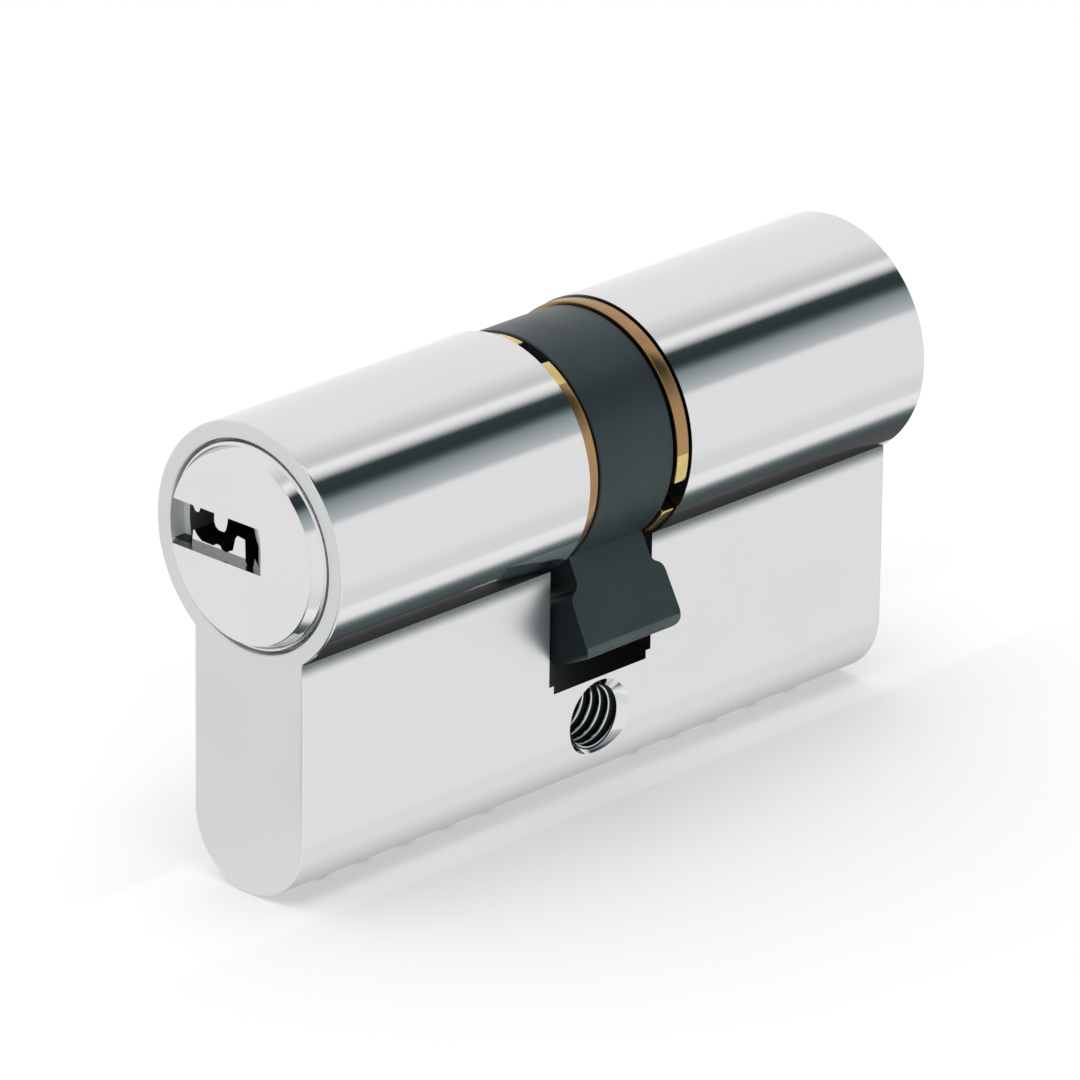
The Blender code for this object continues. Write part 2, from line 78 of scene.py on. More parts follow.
class Sheet:
    """A node tree being drawn up, node by node."""

    def __init__(self, tree: bpy.types.NodeTree) -> None:
        """Starts on a tree.

        Args:
            tree: The node tree of a material, a world or a shader group.
        """
        self.tree = tree

    def add(self, kind: str, inputs: dict | None = None, **settings: object) -> bpy.types.Node:
        """Adds a node.

        Args:
            kind: The node's type name.
            inputs: Values or output sockets for its inputs, by name or number.
            **settings: The node's own settings.

        Returns:
            The new node.
        """
        node = self.tree.nodes.new(kind)
        for name, value in settings.items():
            setattr(node, name, value)
        for key, value in (inputs or {}).items():
            if isinstance(value, Socket):
                self.tree.links.new(value, node.inputs[key])
            else:
                node.inputs[key].default_value = value
        return node

    def maths(self, operation: str, *values: object, clamp: bool = False) -> Socket:
        """Adds a Math node.

        Args:
            operation: The node's operation, such as "ADD".
            *values: Its inputs in order, each a number or a socket.
            clamp: Whether the result is held between 0 and 1.

        Returns:
            The result's socket.
        """
        inputs = dict(enumerate(values))
        return self.add("ShaderNodeMath", inputs, operation=operation, use_clamp=clamp).outputs[0]

    def ramp(self, value: object, low: float, high: float) -> Socket:
        """Rises smoothly from 0 to 1 as a value goes from low to high.

        Args:
            value: The socket to follow.
            low: Where the result leaves 0.
            high: Where the result reaches 1.

        Returns:
            The result's socket.
        """
        inputs = {"Value": value, "From Min": low, "From Max": high}
        return self.add("ShaderNodeMapRange", inputs, interpolation_type="SMOOTHSTEP").outputs["Result"]

    def mix(self, factor: object, first: object, second: object) -> Socket:
        """Mixes two colours.

        Args:
            factor: 0 for the first colour, 1 for the second.
            first: A colour or a socket.
            second: A colour or a socket.

        Returns:
            The mixed colour's socket.
        """
        node = self.add("ShaderNodeMix", {"Factor": factor}, data_type="RGBA")
        for socket, value in ((node.inputs[6], first), (node.inputs[7], second)):
            if isinstance(value, Socket):
                self.tree.links.new(value, socket)
            else:
                socket.default_value = (*value, 1.0)
        return node.outputs[2]

    def parts(self, vector: Socket) -> tuple[Socket, Socket, Socket]:
        """Splits a vector.

        Args:
            vector: The vector's socket.

        Returns:
            The sockets of X, Y and Z.
        """
        split = self.add("ShaderNodeSeparateXYZ", {0: vector})
        return split.outputs[0], split.outputs[1], split.outputs[2]

    def length(self, first: Socket, second: Socket) -> Socket:
        """Length of a flat vector.

        Args:
            first: Its first part.
            second: Its second part.

        Returns:
            The length's socket.
        """
        squares = [self.maths("MULTIPLY", part, part) for part in (first, second)]
        return self.maths("SQRT", self.maths("ADD", *squares))

    def place(self, group: bpy.types.NodeTree, inputs: dict) -> bpy.types.Node:
        """Places a shader group.

        Args:
            group: The group's tree.
            inputs: Its inputs by name.

        Returns:
            The group node.
        """
        return self.add("ShaderNodeGroup", inputs, node_tree=group)


class Effects:
    """Shader groups that several finishes use, each built once."""

    def __init__(self) -> None:
        """Builds the groups."""
        self.lines = self.tool_lines()
        self.cloud = self.handling_cloud()
        self.pits = self.fine_pits()
        # Painted shade along a corner, fading with the distance from it.
        self.dirt = self.settled_dirt()

    @staticmethod
    def group(
        name: str, inputs: dict[str, float | None], outputs: Iterable[str]
    ) -> tuple[Sheet, bpy.types.Node, bpy.types.Node]:
        """Starts a shader group.

        Args:
            name: The group's name.
            inputs: Each input's name and its usual value, or None for a vector.
            outputs: The names of the outputs, all of them numbers.

        Returns:
            The group's sheet, its input node and its output node.
        """
        tree = bpy.data.node_groups.new(name, "ShaderNodeTree")
        for title, value in inputs.items():
            kind = "NodeSocketVector" if value is None else "NodeSocketFloat"
            socket = tree.interface.new_socket(title, in_out="INPUT", socket_type=kind)
            if value is not None:
                socket.default_value = value
        for title in outputs:
            tree.interface.new_socket(title, in_out="OUTPUT", socket_type="NodeSocketFloat")
        sheet = Sheet(tree)
        return sheet, sheet.add("NodeGroupInput"), sheet.add("NodeGroupOutput")

    def tool_lines(self) -> bpy.types.NodeTree:
        """Long fine lines along the vector's X, as a cutter or a polishing belt leaves.

        Returns:
            A group with the outputs Height and Mask.
        """
        inputs = {"Vector": None, "Spacing": 4000.0, "Stretch": 40.0}
        sheet, given, out = self.group("tool_lines", inputs, ("Height", "Mask"))
        slow = sheet.maths("DIVIDE", given.outputs["Spacing"], given.outputs["Stretch"])
        scale = sheet.add(
            "ShaderNodeCombineXYZ", {0: slow, 1: given.outputs["Spacing"], 2: given.outputs["Spacing"]}
        )
        stretched = sheet.add(
            "ShaderNodeVectorMath",
            {0: given.outputs["Vector"], 1: scale.outputs[0]},
            operation="MULTIPLY",
        )
        noise = sheet.add(
            "ShaderNodeTexNoise",
            {"Vector": stretched.outputs[0], "Scale": 1.0, "Detail": 3.0, "Roughness": 0.65},
        )
        height = noise.outputs["Fac"]
        sheet.tree.links.new(height, out.inputs["Height"])
        sheet.tree.links.new(sheet.ramp(height, 0.56, 0.74), out.inputs["Mask"])
        return sheet.tree

    def handling_cloud(self) -> bpy.types.NodeTree:
        """Soft uneven patches, as handling and wiping leave on plate.

        Returns:
            A group with the output Mask.
        """
        sheet, given, out = self.group(
            "handling_cloud", {"Vector": None, "Size": 140.0, "Contrast": 0.25}, ("Mask",)
        )
        noise = sheet.add(
            "ShaderNodeTexNoise",
            {"Vector": given.outputs["Vector"], "Scale": given.outputs["Size"], "Detail": 4.0},
        )
        low = sheet.maths("SUBTRACT", 0.5, given.outputs["Contrast"])
        high = sheet.maths("ADD", 0.5, given.outputs["Contrast"])
        mask = sheet.ramp(noise.outputs["Fac"], 0.25, 0.75)
        spread = sheet.add("ShaderNodeMapRange", {"Value": mask, "To Min": low, "To Max": high})
        sheet.tree.links.new(spread.outputs[0], out.inputs["Mask"])
        return sheet.tree

    def fine_pits(self) -> bpy.types.NodeTree:
        """Fine pores, as pressed and sintered metal has.

        Returns:
            A group with the outputs Height and Mask.
        """
        sheet, given, out = self.group(
            "fine_pits", {"Vector": None, "Size": 5200.0, "Depth": 1.0}, ("Height", "Mask")
        )
        grains = sheet.add(
            "ShaderNodeTexVoronoi", {"Vector": given.outputs["Vector"], "Scale": given.outputs["Size"]}
        )
        noise = sheet.add(
            "ShaderNodeTexNoise",
            {"Vector": given.outputs["Vector"], "Scale": given.outputs["Size"], "Detail": 2.0},
        )
        pit = sheet.ramp(grains.outputs["Distance"], 0.05, 0.42)
        uneven = sheet.maths("MULTIPLY", pit, noise.outputs["Fac"])
        height = sheet.maths("MULTIPLY", uneven, given.outputs["Depth"])
        sheet.tree.links.new(height, out.inputs["Height"])
        sheet.tree.links.new(sheet.maths("SUBTRACT", 1.0, pit), out.inputs["Mask"])
        return sheet.tree

    def settled_dirt(self) -> bpy.types.NodeTree:
        """Painted shade that thins out with the distance from a corner, with an uneven edge.

        Returns:
            A group with the output Mask.
        """
        inputs = {"Vector": None, "Distance": 0.0, "Reach": 0.001, "Breakup": 0.3}
        sheet, given, out = self.group("settled_dirt", inputs, ("Mask",))
        noise = sheet.add(
            "ShaderNodeTexNoise", {"Vector": given.outputs["Vector"], "Scale": 900.0, "Detail": 3.0}
        )
        uneven = sheet.maths("SUBTRACT", noise.outputs["Fac"], 0.5)
        shift = sheet.maths("MULTIPLY", uneven, given.outputs["Breakup"])
        share = sheet.maths("DIVIDE", given.outputs["Distance"], given.outputs["Reach"])
        mask = sheet.ramp(sheet.maths("ADD", share, shift), 1.0, 0.0)
        sheet.tree.links.new(mask, out.inputs["Mask"])
        return sheet.tree


# ----------------------------------------------------------------------------------------------
# Finishes
# ----------------------------------------------------------------------------------------------


class Grain(Enum):
    """Which way a finish's fine lines run."""

    ALONG = "along the barrel"
    ROUND = "round the barrel"
    UPRIGHT = "up and down"


class Zone(Enum):
    """Where a finish changes to a darker colour as painted shade, as a distance that this second colour fades
    with.
    """

    NONE = "nowhere"
    CREASE = "from the corner between barrel and web"
    THREAD = "outwards from the screw hole's axis"


@dataclass(frozen=True)
class MetalFinish:
    """A metal surface with its grain, its unevenness and a zone of a second colour, which is painted shade.

    `mirrored` multiplies the colour where other metal mirrors the surface, as a painted reflection that is
    darker below 1 and lighter above 1, and `grazing` is the tint of what the surface itself mirrors at a flat
    angle.
    """

    name: str
    colour: Colour
    roughness: float
    metallic: float = 1.0
    grain: Grain = Grain.ALONG
    line_spacing: float = 5000.0
    line_stretch: float = 60.0
    line_depth: float = 0.0000004
    line_roughness: float = 0.05
    cloud_colour: float = 0.03
    cloud_roughness: float = 0.05
    cloud_size: float = 140.0
    pit_depth: float = 0.0
    pit_share: float = 0.35
    pit_tone: float = 0.5
    zone: Zone = Zone.NONE
    zone_from: float = 0.0
    zone_to: float = 0.001
    zone_colour: Colour = (0.1, 0.1, 0.1)
    zone_roughness: float = 0.3
    zone_breakup: float = 0.08
    mirrored: float = 1.0
    grazing: float = 1.0

    def lined(self, sheet: Sheet, coords: Socket) -> Socket:
        """Turns the coordinates so that their X runs along the grain.

        Args:
            sheet: The material's sheet.
            coords: The object coordinates.

        Returns:
            The turned coordinates.
        """
        if self.grain is Grain.ALONG:
            return coords
        x, y, z = sheet.parts(coords)
        if self.grain is Grain.UPRIGHT:
            return sheet.add("ShaderNodeCombineXYZ", {0: z, 1: x, 2: y}).outputs[0]
        height = sheet.maths("SUBTRACT", z, BARREL.axis)
        radius = sheet.length(y, height)
        return sheet.add("ShaderNodeCombineXYZ", {0: 0.0, 1: x, 2: radius}).outputs[0]

    def zone_mask(self, sheet: Sheet, coords: Socket, effects: Effects) -> Socket | None:
        """Draws up the mask of the second colour, the painted shade.

        Args:
            sheet: The material's sheet.
            coords: The object coordinates.
            effects: The shared shader groups.

        Returns:
            The mask's socket, or None where the finish has one colour and no painted shade.
        """
        if self.zone is Zone.NONE:
            return None
        x, y, z = sheet.parts(coords)
        if self.zone is Zone.THREAD:
            return sheet.ramp(sheet.length(x, z), self.zone_from, self.zone_to)
        # Painted shade: darkest at the corner between barrel and web.
        side = sheet.maths("SUBTRACT", sheet.maths("ABSOLUTE", y), BARREL.web / 2)
        corner = sheet.length(side, sheet.maths("SUBTRACT", z, BARREL.crease))
        away = sheet.maths("SUBTRACT", corner, self.zone_from)
        reach = self.zone_to - self.zone_from
        inputs = {"Vector": coords, "Distance": away, "Reach": reach, "Breakup": self.zone_breakup}
        return sheet.place(effects.dirt, inputs).outputs["Mask"]

    def make(self, effects: Effects) -> bpy.types.Material:
        """Builds the material.

        Args:
            effects: The shared shader groups.

        Returns:
            The material.
        """
        made = bpy.data.materials.new(self.name)
        made.use_nodes = True
        sheet = Sheet(made.node_tree)
        shader = made.node_tree.nodes["Principled BSDF"]
        shader.inputs["Metallic"].default_value = self.metallic
        shader.inputs["Specular Tint"].default_value = (self.grazing, self.grazing, self.grazing, 1.0)
        coords = sheet.add("ShaderNodeTexCoord").outputs["Object"]
        lines = sheet.place(
            effects.lines,
            {"Vector": self.lined(sheet, coords), "Spacing": self.line_spacing, "Stretch": self.line_stretch},
        )
        cloud = sheet.place(effects.cloud, {"Vector": coords, "Size": self.cloud_size}).outputs["Mask"]
        darker = tuple(part * (1.0 - 2.0 * self.cloud_colour) for part in self.colour)
        colour = sheet.mix(cloud, self.colour, darker)
        swing = sheet.maths("SUBTRACT", cloud, 0.5)
        uneven = sheet.maths("MULTIPLY_ADD", swing, self.cloud_roughness, self.roughness)
        rough = sheet.maths("MULTIPLY_ADD", lines.outputs["Mask"], self.line_roughness, uneven)
        height = sheet.maths("MULTIPLY", lines.outputs["Height"], self.line_depth)
        if self.pit_depth:
            pits = sheet.place(effects.pits, {"Vector": coords, "Depth": self.pit_depth})
            height = sheet.maths("ADD", height, pits.outputs["Height"])
            in_pit = sheet.maths("MULTIPLY", pits.outputs["Mask"], self.pit_share)
            colour = sheet.mix(in_pit, colour, tuple(part * self.pit_tone for part in self.colour))
        # Painted shade: inside the mask the zone's darker colour and roughness take over.
        mask = self.zone_mask(sheet, coords, effects)
        if mask is not None:
            colour = sheet.mix(mask, colour, self.zone_colour)
            outside = sheet.maths("MULTIPLY", rough, sheet.maths("SUBTRACT", 1.0, mask))
            rough = sheet.maths("ADD", outside, sheet.maths("MULTIPLY", mask, self.zone_roughness))
        # Painted reflection: where other metal mirrors the surface, it shows the colour times `mirrored`.
        if self.mirrored != 1.0:
            in_mirror = sheet.add("ShaderNodeLightPath").outputs["Is Glossy Ray"]
            toned = tuple(part * self.mirrored for part in self.colour)
            colour = sheet.mix(in_mirror, colour, toned)
        bump = sheet.add("ShaderNodeBump", {"Height": height, "Distance": 1.0, "Strength": 1.0})
        for name, value in (("Base Color", colour), ("Roughness", rough), ("Normal", bump.outputs[0])):
            made.node_tree.links.new(value, shader.inputs[name])
        return made


@dataclass(frozen=True)
class Barrel:
    """The housing's main lines, read from the frame."""

    half_length: float
    radius: float
    axis: float
    foot: float
    web: float

    @property
    def crease(self) -> float:
        """Height of the corner between barrel and web."""
        return self.axis - math.sqrt(self.radius**2 - (self.web / 2) ** 2)


def read_barrel() -> Barrel:
    """Reads the housing's main lines from its box.

    Returns:
        The housing's main lines.
    """
    low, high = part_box("housing")
    radius = (high.y - low.y) / 2
    return Barrel(high.x, round(radius, 5), high.z - round(radius, 5), low.z, 10.0 * MM)


BARREL = read_barrel()

NICKEL = (0.728, 0.728, 0.728)
NICKEL_TURNED = MetalFinish(
    "nickel_turned",
    NICKEL,
    roughness=0.085,
    line_spacing=2600.0,
    line_depth=0.0000001,
    line_roughness=0.02,
    cloud_roughness=0.02,
    cloud_colour=0.01,
    # Painted shade: darker near the corner between barrel and web, fading out 1.9 mm from it.
    zone=Zone.CREASE,
    zone_from=0.1 * MM,
    zone_to=1.9 * MM,
    zone_colour=(0.14, 0.175, 0.18),
    zone_roughness=0.12,
)
NICKEL_MILLED = MetalFinish(
    "nickel_milled",
    (0.785, 0.785, 0.785),
    roughness=0.34,
    line_spacing=5200.0,
    line_depth=0.00000012,
    line_roughness=0.025,
    cloud_colour=0.008,
    cloud_roughness=0.04,
    # Painted reflection: other metal mirrors the web nearly black, which paints a dark band on the barrel's
    # lower side.
    mirrored=0.075,
    grazing=0.49,
    # Painted shade: darker on the web just below its corner with the barrel, fading out 1.1 mm from it.
    zone=Zone.CREASE,
    zone_from=0.1 * MM,
    zone_to=1.1 * MM,
    zone_colour=(0.19, 0.21, 0.215),
    zone_roughness=0.3,
)
NICKEL_GROUND = MetalFinish(
    "nickel_ground",
    (0.675, 0.685, 0.685),
    roughness=0.3,
    grain=Grain.UPRIGHT,
    line_spacing=4200.0,
    line_stretch=30.0,
    line_depth=0.0000007,
    line_roughness=0.08,
    cloud_colour=0.02,
    cloud_roughness=0.08,
)
NICKEL_POLISHED = MetalFinish(
    "nickel_polished",
    (0.735, 0.735, 0.735),
    roughness=0.07,
    grain=Grain.UPRIGHT,
    line_spacing=3000.0,
    line_depth=0.00000008,
    line_roughness=0.02,
    cloud_roughness=0.03,
    cloud_colour=0.008,
)
NICKEL_BORED = MetalFinish(
    "nickel_bored",
    (0.62, 0.63, 0.63),
    roughness=0.42,
    metallic=0.7,
    grain=Grain.ROUND,
    line_spacing=6000.0,
    line_depth=0.0000008,
)
# Painted light: a lighter, mostly diffuse copy of the nickel plate, so the mouths' walls read brighter than
# plate would.
NICKEL_MOUTH = MetalFinish(
    "nickel_mouth",
    (0.82, 0.84, 0.84),
    roughness=0.45,
    metallic=0.25,
    grain=Grain.ROUND,
    line_spacing=6000.0,
    line_depth=0.0000006,
)
NICKEL_SHADED = MetalFinish(
    "nickel_shaded",
    (0.26, 0.275, 0.275),
    roughness=0.24,
    grain=Grain.UPRIGHT,
    line_spacing=4200.0,
    line_depth=0.0000006,
    cloud_colour=0.08,
)
# Painted shade: near black for the window's walls in the web and for the keyway, where shade falls.
PAINTED_SHADE_BLACK = MetalFinish(
    "painted_shade_black",
    (0.012, 0.015, 0.016),
    roughness=0.42,
    metallic=0.6,
    grain=Grain.UPRIGHT,
    cloud_colour=0.2,
    cloud_roughness=0.15,
)
THREAD = MetalFinish(
    "thread_cut",
    (0.78, 0.79, 0.79),
    roughness=0.12,
    # Painted shade: near black in the thread's grooves, from 2.13 mm outwards from the hole's axis and full
    # from 2.2 mm.
    zone=Zone.THREAD,
    zone_from=2.13 * MM,
    zone_to=2.2 * MM,
    zone_colour=(0.012, 0.016, 0.017),
    zone_roughness=0.35,
)
SINTERED = MetalFinish(
    "sintered_steel_dark",
    (0.030, 0.047, 0.052),
    roughness=0.4,
    metallic=0.55,
    grain=Grain.ROUND,
    line_spacing=3800.0,
    line_depth=0.0000014,
    line_roughness=0.07,
    cloud_colour=0.14,
    cloud_roughness=0.1,
    cloud_size=260.0,
    pit_depth=0.0000035,
    # Painted reflection: other metal mirrors the cam twice as light as it is.
    mirrored=2.0,
)
# Painted highlight: a lighter copy of the sintered steel for the nose's rounded edges and tip.
SINTERED_EDGE_HIGHLIGHT = MetalFinish(
    "sintered_steel_edge_highlight",
    (0.085, 0.112, 0.117),
    roughness=0.33,
    metallic=0.7,
    line_spacing=3200.0,
    line_depth=0.000001,
    line_roughness=0.07,
    cloud_colour=0.18,
    cloud_roughness=0.1,
    cloud_size=420.0,
    pit_depth=0.000002,
)
BRONZE = MetalFinish(
    "bronze_strip",
    (0.43, 0.26, 0.12),
    roughness=0.24,
    grain=Grain.ROUND,
    line_spacing=5000.0,
    line_depth=0.000001,
    cloud_colour=0.12,
    cloud_size=420.0,
)
# Painted highlight: a lighter bronze for the ring's ends beside its mouth.
BRONZE_END_HIGHLIGHT = MetalFinish(
    "bronze_end_highlight",
    (0.72, 0.55, 0.21),
    roughness=0.2,
    grain=Grain.UPRIGHT,
    line_depth=0.000001,
)
BRASS_TURNED = MetalFinish(
    "brass_turned",
    (0.72, 0.52, 0.22),
    roughness=0.2,
    grain=Grain.UPRIGHT,
    line_depth=0.000001,
    cloud_colour=0.06,
)
STEEL_DRAWN = MetalFinish(
    "steel_drawn",
    (0.52, 0.53, 0.54),
    roughness=0.24,
    grain=Grain.UPRIGHT,
    line_depth=0.0000008,
    cloud_colour=0.06,
)
FINISHES = (
    NICKEL_TURNED,
    NICKEL_MILLED,
    NICKEL_GROUND,
    NICKEL_POLISHED,
    NICKEL_BORED,
    NICKEL_MOUTH,
    NICKEL_SHADED,
    PAINTED_SHADE_BLACK,
    THREAD,
    SINTERED,
    SINTERED_EDGE_HIGHLIGHT,
    BRONZE,
    BRONZE_END_HIGHLIGHT,
    BRASS_TURNED,
    STEEL_DRAWN,
)


class PaintShop:
    """Keeps one material for each finish."""

    def __init__(self) -> None:
        """Builds the shared effects and every finish."""
        effects = Effects()
        self.materials = {finish.name: finish.make(effects) for finish in FINISHES}

    def get(self, finish: MetalFinish) -> bpy.types.Material:
        """The material of a finish."""
        return self.materials[finish.name]


# ----------------------------------------------------------------------------------------------
# Meshes
# ----------------------------------------------------------------------------------------------


def rounded(bm: bmesh.types.BMesh, geom: list, width: float, segments: int, affect: str) -> None:
    """Rounds corners or edges.

    Args:
        bm: The shape.
        geom: What is rounded.
        width: How far from a corner or an edge the rounding starts.
        segments: How many facets it has.
        affect: "VERTICES" or "EDGES".
    """
    bmesh.ops.bevel(
        bm,
        geom=geom,
        offset=width,
        offset_type="OFFSET",
        segments=segments,
        profile=0.5,
        affect=affect,
        material=-1,
        clamp_overlap=True,
    )


def spun(
    profile: Profile,
    centre: Vector,
    axis: Vector,
    start: Vector,
    steps: int,
    edge: float = 0.0,
    closed: bool = False,
) -> bmesh.types.BMesh:
    """Turns a profile once round a line.

    Args:
        profile: Pairs of the place along the line and the radius.
        centre: A point on the line.
        axis: The line's direction.
        start: The direction that the profile's radius has at first.
        steps: How many facets go round.
        edge: How far from each corner of the profile its rounding starts.
        closed: Whether the profile's last point joins its first.

    Returns:
        The turned shape.
    """
    bm = bmesh.new()
    verts = [bm.verts.new(centre + axis * along + start * radius) for along, radius in profile]
    for pair in zip(verts, verts[1:]):
        bm.edges.new(pair)
    if closed:
        bm.edges.new((verts[-1], verts[0]))
    if edge:
        corners = [vert for vert in verts if len(vert.link_edges) == 2]
        rounded(bm, corners, edge, 3, "VERTICES")
    bmesh.ops.spin(
        bm,
        geom=bm.verts[:] + bm.edges[:],
        cent=centre,
        axis=axis,
        angle=math.tau,
        steps=steps,
        use_merge=True,
    )
    bmesh.ops.remove_doubles(bm, verts=bm.verts, dist=MERGE)
    bmesh.ops.recalc_face_normals(bm, faces=bm.faces)
    return bm


class Outline:
    """A closed flat outline, drawn point by point and then pushed into a solid."""

    TURNS = {"X": Vector((1.0, 0.0, 0.0)), "Y": Vector((0.0, -1.0, 0.0)), "Z": Vector((0.0, 0.0, 1.0))}

    def __init__(self, axis: str, points: Profile | None = None) -> None:
        """Starts an outline.

        Args:
            axis: The letter of the axis that the outline lies across.
            points: Its first points, as pairs of the two other axes in their order.
        """
        self.axis = axis
        self.bm = bmesh.new()
        for point in points or []:
            self.bm.verts.new(self.place(point))

    def place(self, point: tuple[float, float]) -> Vector:
        """Where a point of the outline lies."""
        whole = list(point)
        whole.insert("XYZ".index(self.axis), 0.0)
        return Vector(whole)

    def arc(
        self, centre: tuple[float, float], radius: float, first: float, last: float, steps: int
    ) -> "Outline":
        """Adds an arc.

        Args:
            centre: The arc's centre.
            radius: Its radius.
            first: The angle that it starts at, in degrees.
            last: The angle that it ends at, in degrees.
            steps: How many pieces it has.

        Returns:
            The outline itself.
        """
        at = math.radians(first)
        start = (centre[0] + radius * math.cos(at), centre[1] + radius * math.sin(at))
        vert = self.bm.verts.new(self.place(start))
        bmesh.ops.spin(
            self.bm,
            geom=[vert],
            cent=self.place(centre),
            axis=self.TURNS[self.axis],
            angle=math.radians(last - first),
            steps=steps,
            use_merge=False,
        )
        return self

    def push(self, low: float, high: float) -> bmesh.types.BMesh:
        """Fills the outline and extrudes it.

        Args:
            low: Where the solid starts along the axis.
            high: Where it ends.

        Returns:
            The solid.
        """
        bm = self.bm
        step = Vector()
        step["XYZ".index(self.axis)] = 1.0
        bmesh.ops.translate(bm, verts=bm.verts, vec=step * low)
        face = bm.faces.new(bm.verts[:])
        grown = bmesh.ops.extrude_face_region(bm, geom=[face])
        moved = [item for item in grown["geom"] if isinstance(item, bmesh.types.BMVert)]
        bmesh.ops.translate(bm, verts=moved, vec=step * (high - low))
        bmesh.ops.remove_doubles(bm, verts=bm.verts, dist=MERGE)
        bmesh.ops.recalc_face_normals(bm, faces=bm.faces)
        return bm


def gathered(shapes: Iterable[bmesh.types.BMesh]) -> bmesh.types.BMesh:
    """Puts several shapes into one.

    Args:
        shapes: The shapes, which are used up.

    Returns:
        The one shape.
    """
    whole = bmesh.new()
    for shape in shapes:
        mesh = bpy.data.meshes.new("part")
        shape.to_mesh(mesh)
        shape.free()
        whole.from_mesh(mesh)
        bpy.data.meshes.remove(mesh)
    return whole


def ease_edges(
    bm: bmesh.types.BMesh, width: float, segments: int, wanted: Callable[[bmesh.types.BMEdge], bool]
) -> None:
    """Rounds the edges that a test picks.

    Args:
        bm: The shape.
        width: How wide the rounding is.
        segments: How many facets it has.
        wanted: Says whether an edge is rounded.
    """
    picked = [edge for edge in bm.edges if len(edge.link_faces) == 2 and wanted(edge)]
    ends = list(dict.fromkeys(vert for edge in picked for vert in edge.verts))
    rounded(bm, picked + ends, width, segments, "EDGES")


def sharp(edge: bmesh.types.BMEdge, least: float = 40.0) -> bool:
    """Whether an edge turns by more than so many degrees."""
    return edge.calc_face_angle(0.0) > math.radians(least)


def span(edge: bmesh.types.BMEdge, axis: str) -> float:
    """How far an edge reaches along an axis, given by its letter."""
    first, second = edge.verts
    return abs(getattr(first.co, axis) - getattr(second.co, axis))


def to_object(bm: bmesh.types.BMesh, name: str, *looks: bpy.types.Material) -> bpy.types.Object:
    """Makes an object of a shape.

    Args:
        bm: The shape, which is used up.
        name: The object's name.
        *looks: Its materials.

    Returns:
        The object, at the origin.
    """
    mesh = bpy.data.meshes.new(name)
    bm.to_mesh(mesh)
    bm.free()
    for look in looks:
        mesh.materials.append(look)
    obj = bpy.data.objects.new(name, mesh)
    bpy.context.scene.collection.objects.link(obj)
    return obj


def settle(obj: bpy.types.Object) -> bpy.types.Object:
    """Applies an object's modifiers.

    Args:
        obj: The object.

    Returns:
        The same object.
    """
    ready = obj.evaluated_get(bpy.context.evaluated_depsgraph_get())
    mesh = bpy.data.meshes.new_from_object(ready)
    obj.modifiers.clear()
    old = obj.data
    obj.data = mesh
    mesh.name = obj.name
    bpy.data.meshes.remove(old)
    return obj


def cut(obj: bpy.types.Object, tools: Iterable[bpy.types.Object], how: str = "DIFFERENCE") -> None:
    """Cuts an object with others, or joins them to it, and takes the others away.

    Args:
        obj: The object.
        tools: The objects that cut or join it. They hand their materials to the new faces.
        how: The Boolean operation.
    """
    tools = list(tools)
    for tool in tools:
        step = obj.modifiers.new(tool.name, "BOOLEAN")
        step.operation = how
        step.solver = "EXACT"
        step.object = tool
        step.material_mode = "TRANSFER"
    settle(obj)
    for tool in tools:
        mesh = tool.data
        bpy.data.objects.remove(tool, do_unlink=True)
        bpy.data.meshes.remove(mesh)


def smooth(obj: bpy.types.Object, angle: float = 38.0, weighted: bool = True) -> bpy.types.Object:
    """Shades an object smooth between its sharp edges, with its large faces kept flat.

    Args:
        obj: The object.
        angle: The least turn of a sharp edge, in degrees.
        weighted: Whether large faces lead the shading.

    Returns:
        The same object.
    """
    obj.data.shade_smooth()
    obj.data.set_sharp_from_angle(angle=math.radians(angle))
    if weighted:
        step = obj.modifiers.new("large_faces_lead", "WEIGHTED_NORMAL")
        step.mode = "FACE_AREA"
        step.keep_sharp = True
        settle(obj)
    return obj


def hand_over(obj: bpy.types.Object, body: str, slot: str, *nodes: str) -> None:
    """Lets a finished piece stand for its CAD nodes.

    Args:
        obj: The finished piece.
        body: The body that it moves with.
        slot: The record's material slot. Not used.
        *nodes: The CAD nodes that it stands for.
    """
    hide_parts(*nodes)
    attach(obj, body)
    LOG.info("%s: %d faces, rides on %s", obj.name, len(obj.data.polygons), body)


# ----------------------------------------------------------------------------------------------
# Sub-assemblies
# ----------------------------------------------------------------------------------------------

ALONG = Vector((1.0, 0.0, 0.0))
ACROSS = Vector((0.0, 1.0, 0.0))
UP = Vector((0.0, 0.0, 1.0))
AXIS_POINT = Vector((0.0, 0.0, BARREL.axis))


class Side(Enum):
    """The cylinder's two halves. The value is the direction along X."""

    A = -1
    B = 1

    @property
    def letter(self) -> str:
        """The letter that names of pieces have."""
        return self.name.lower()


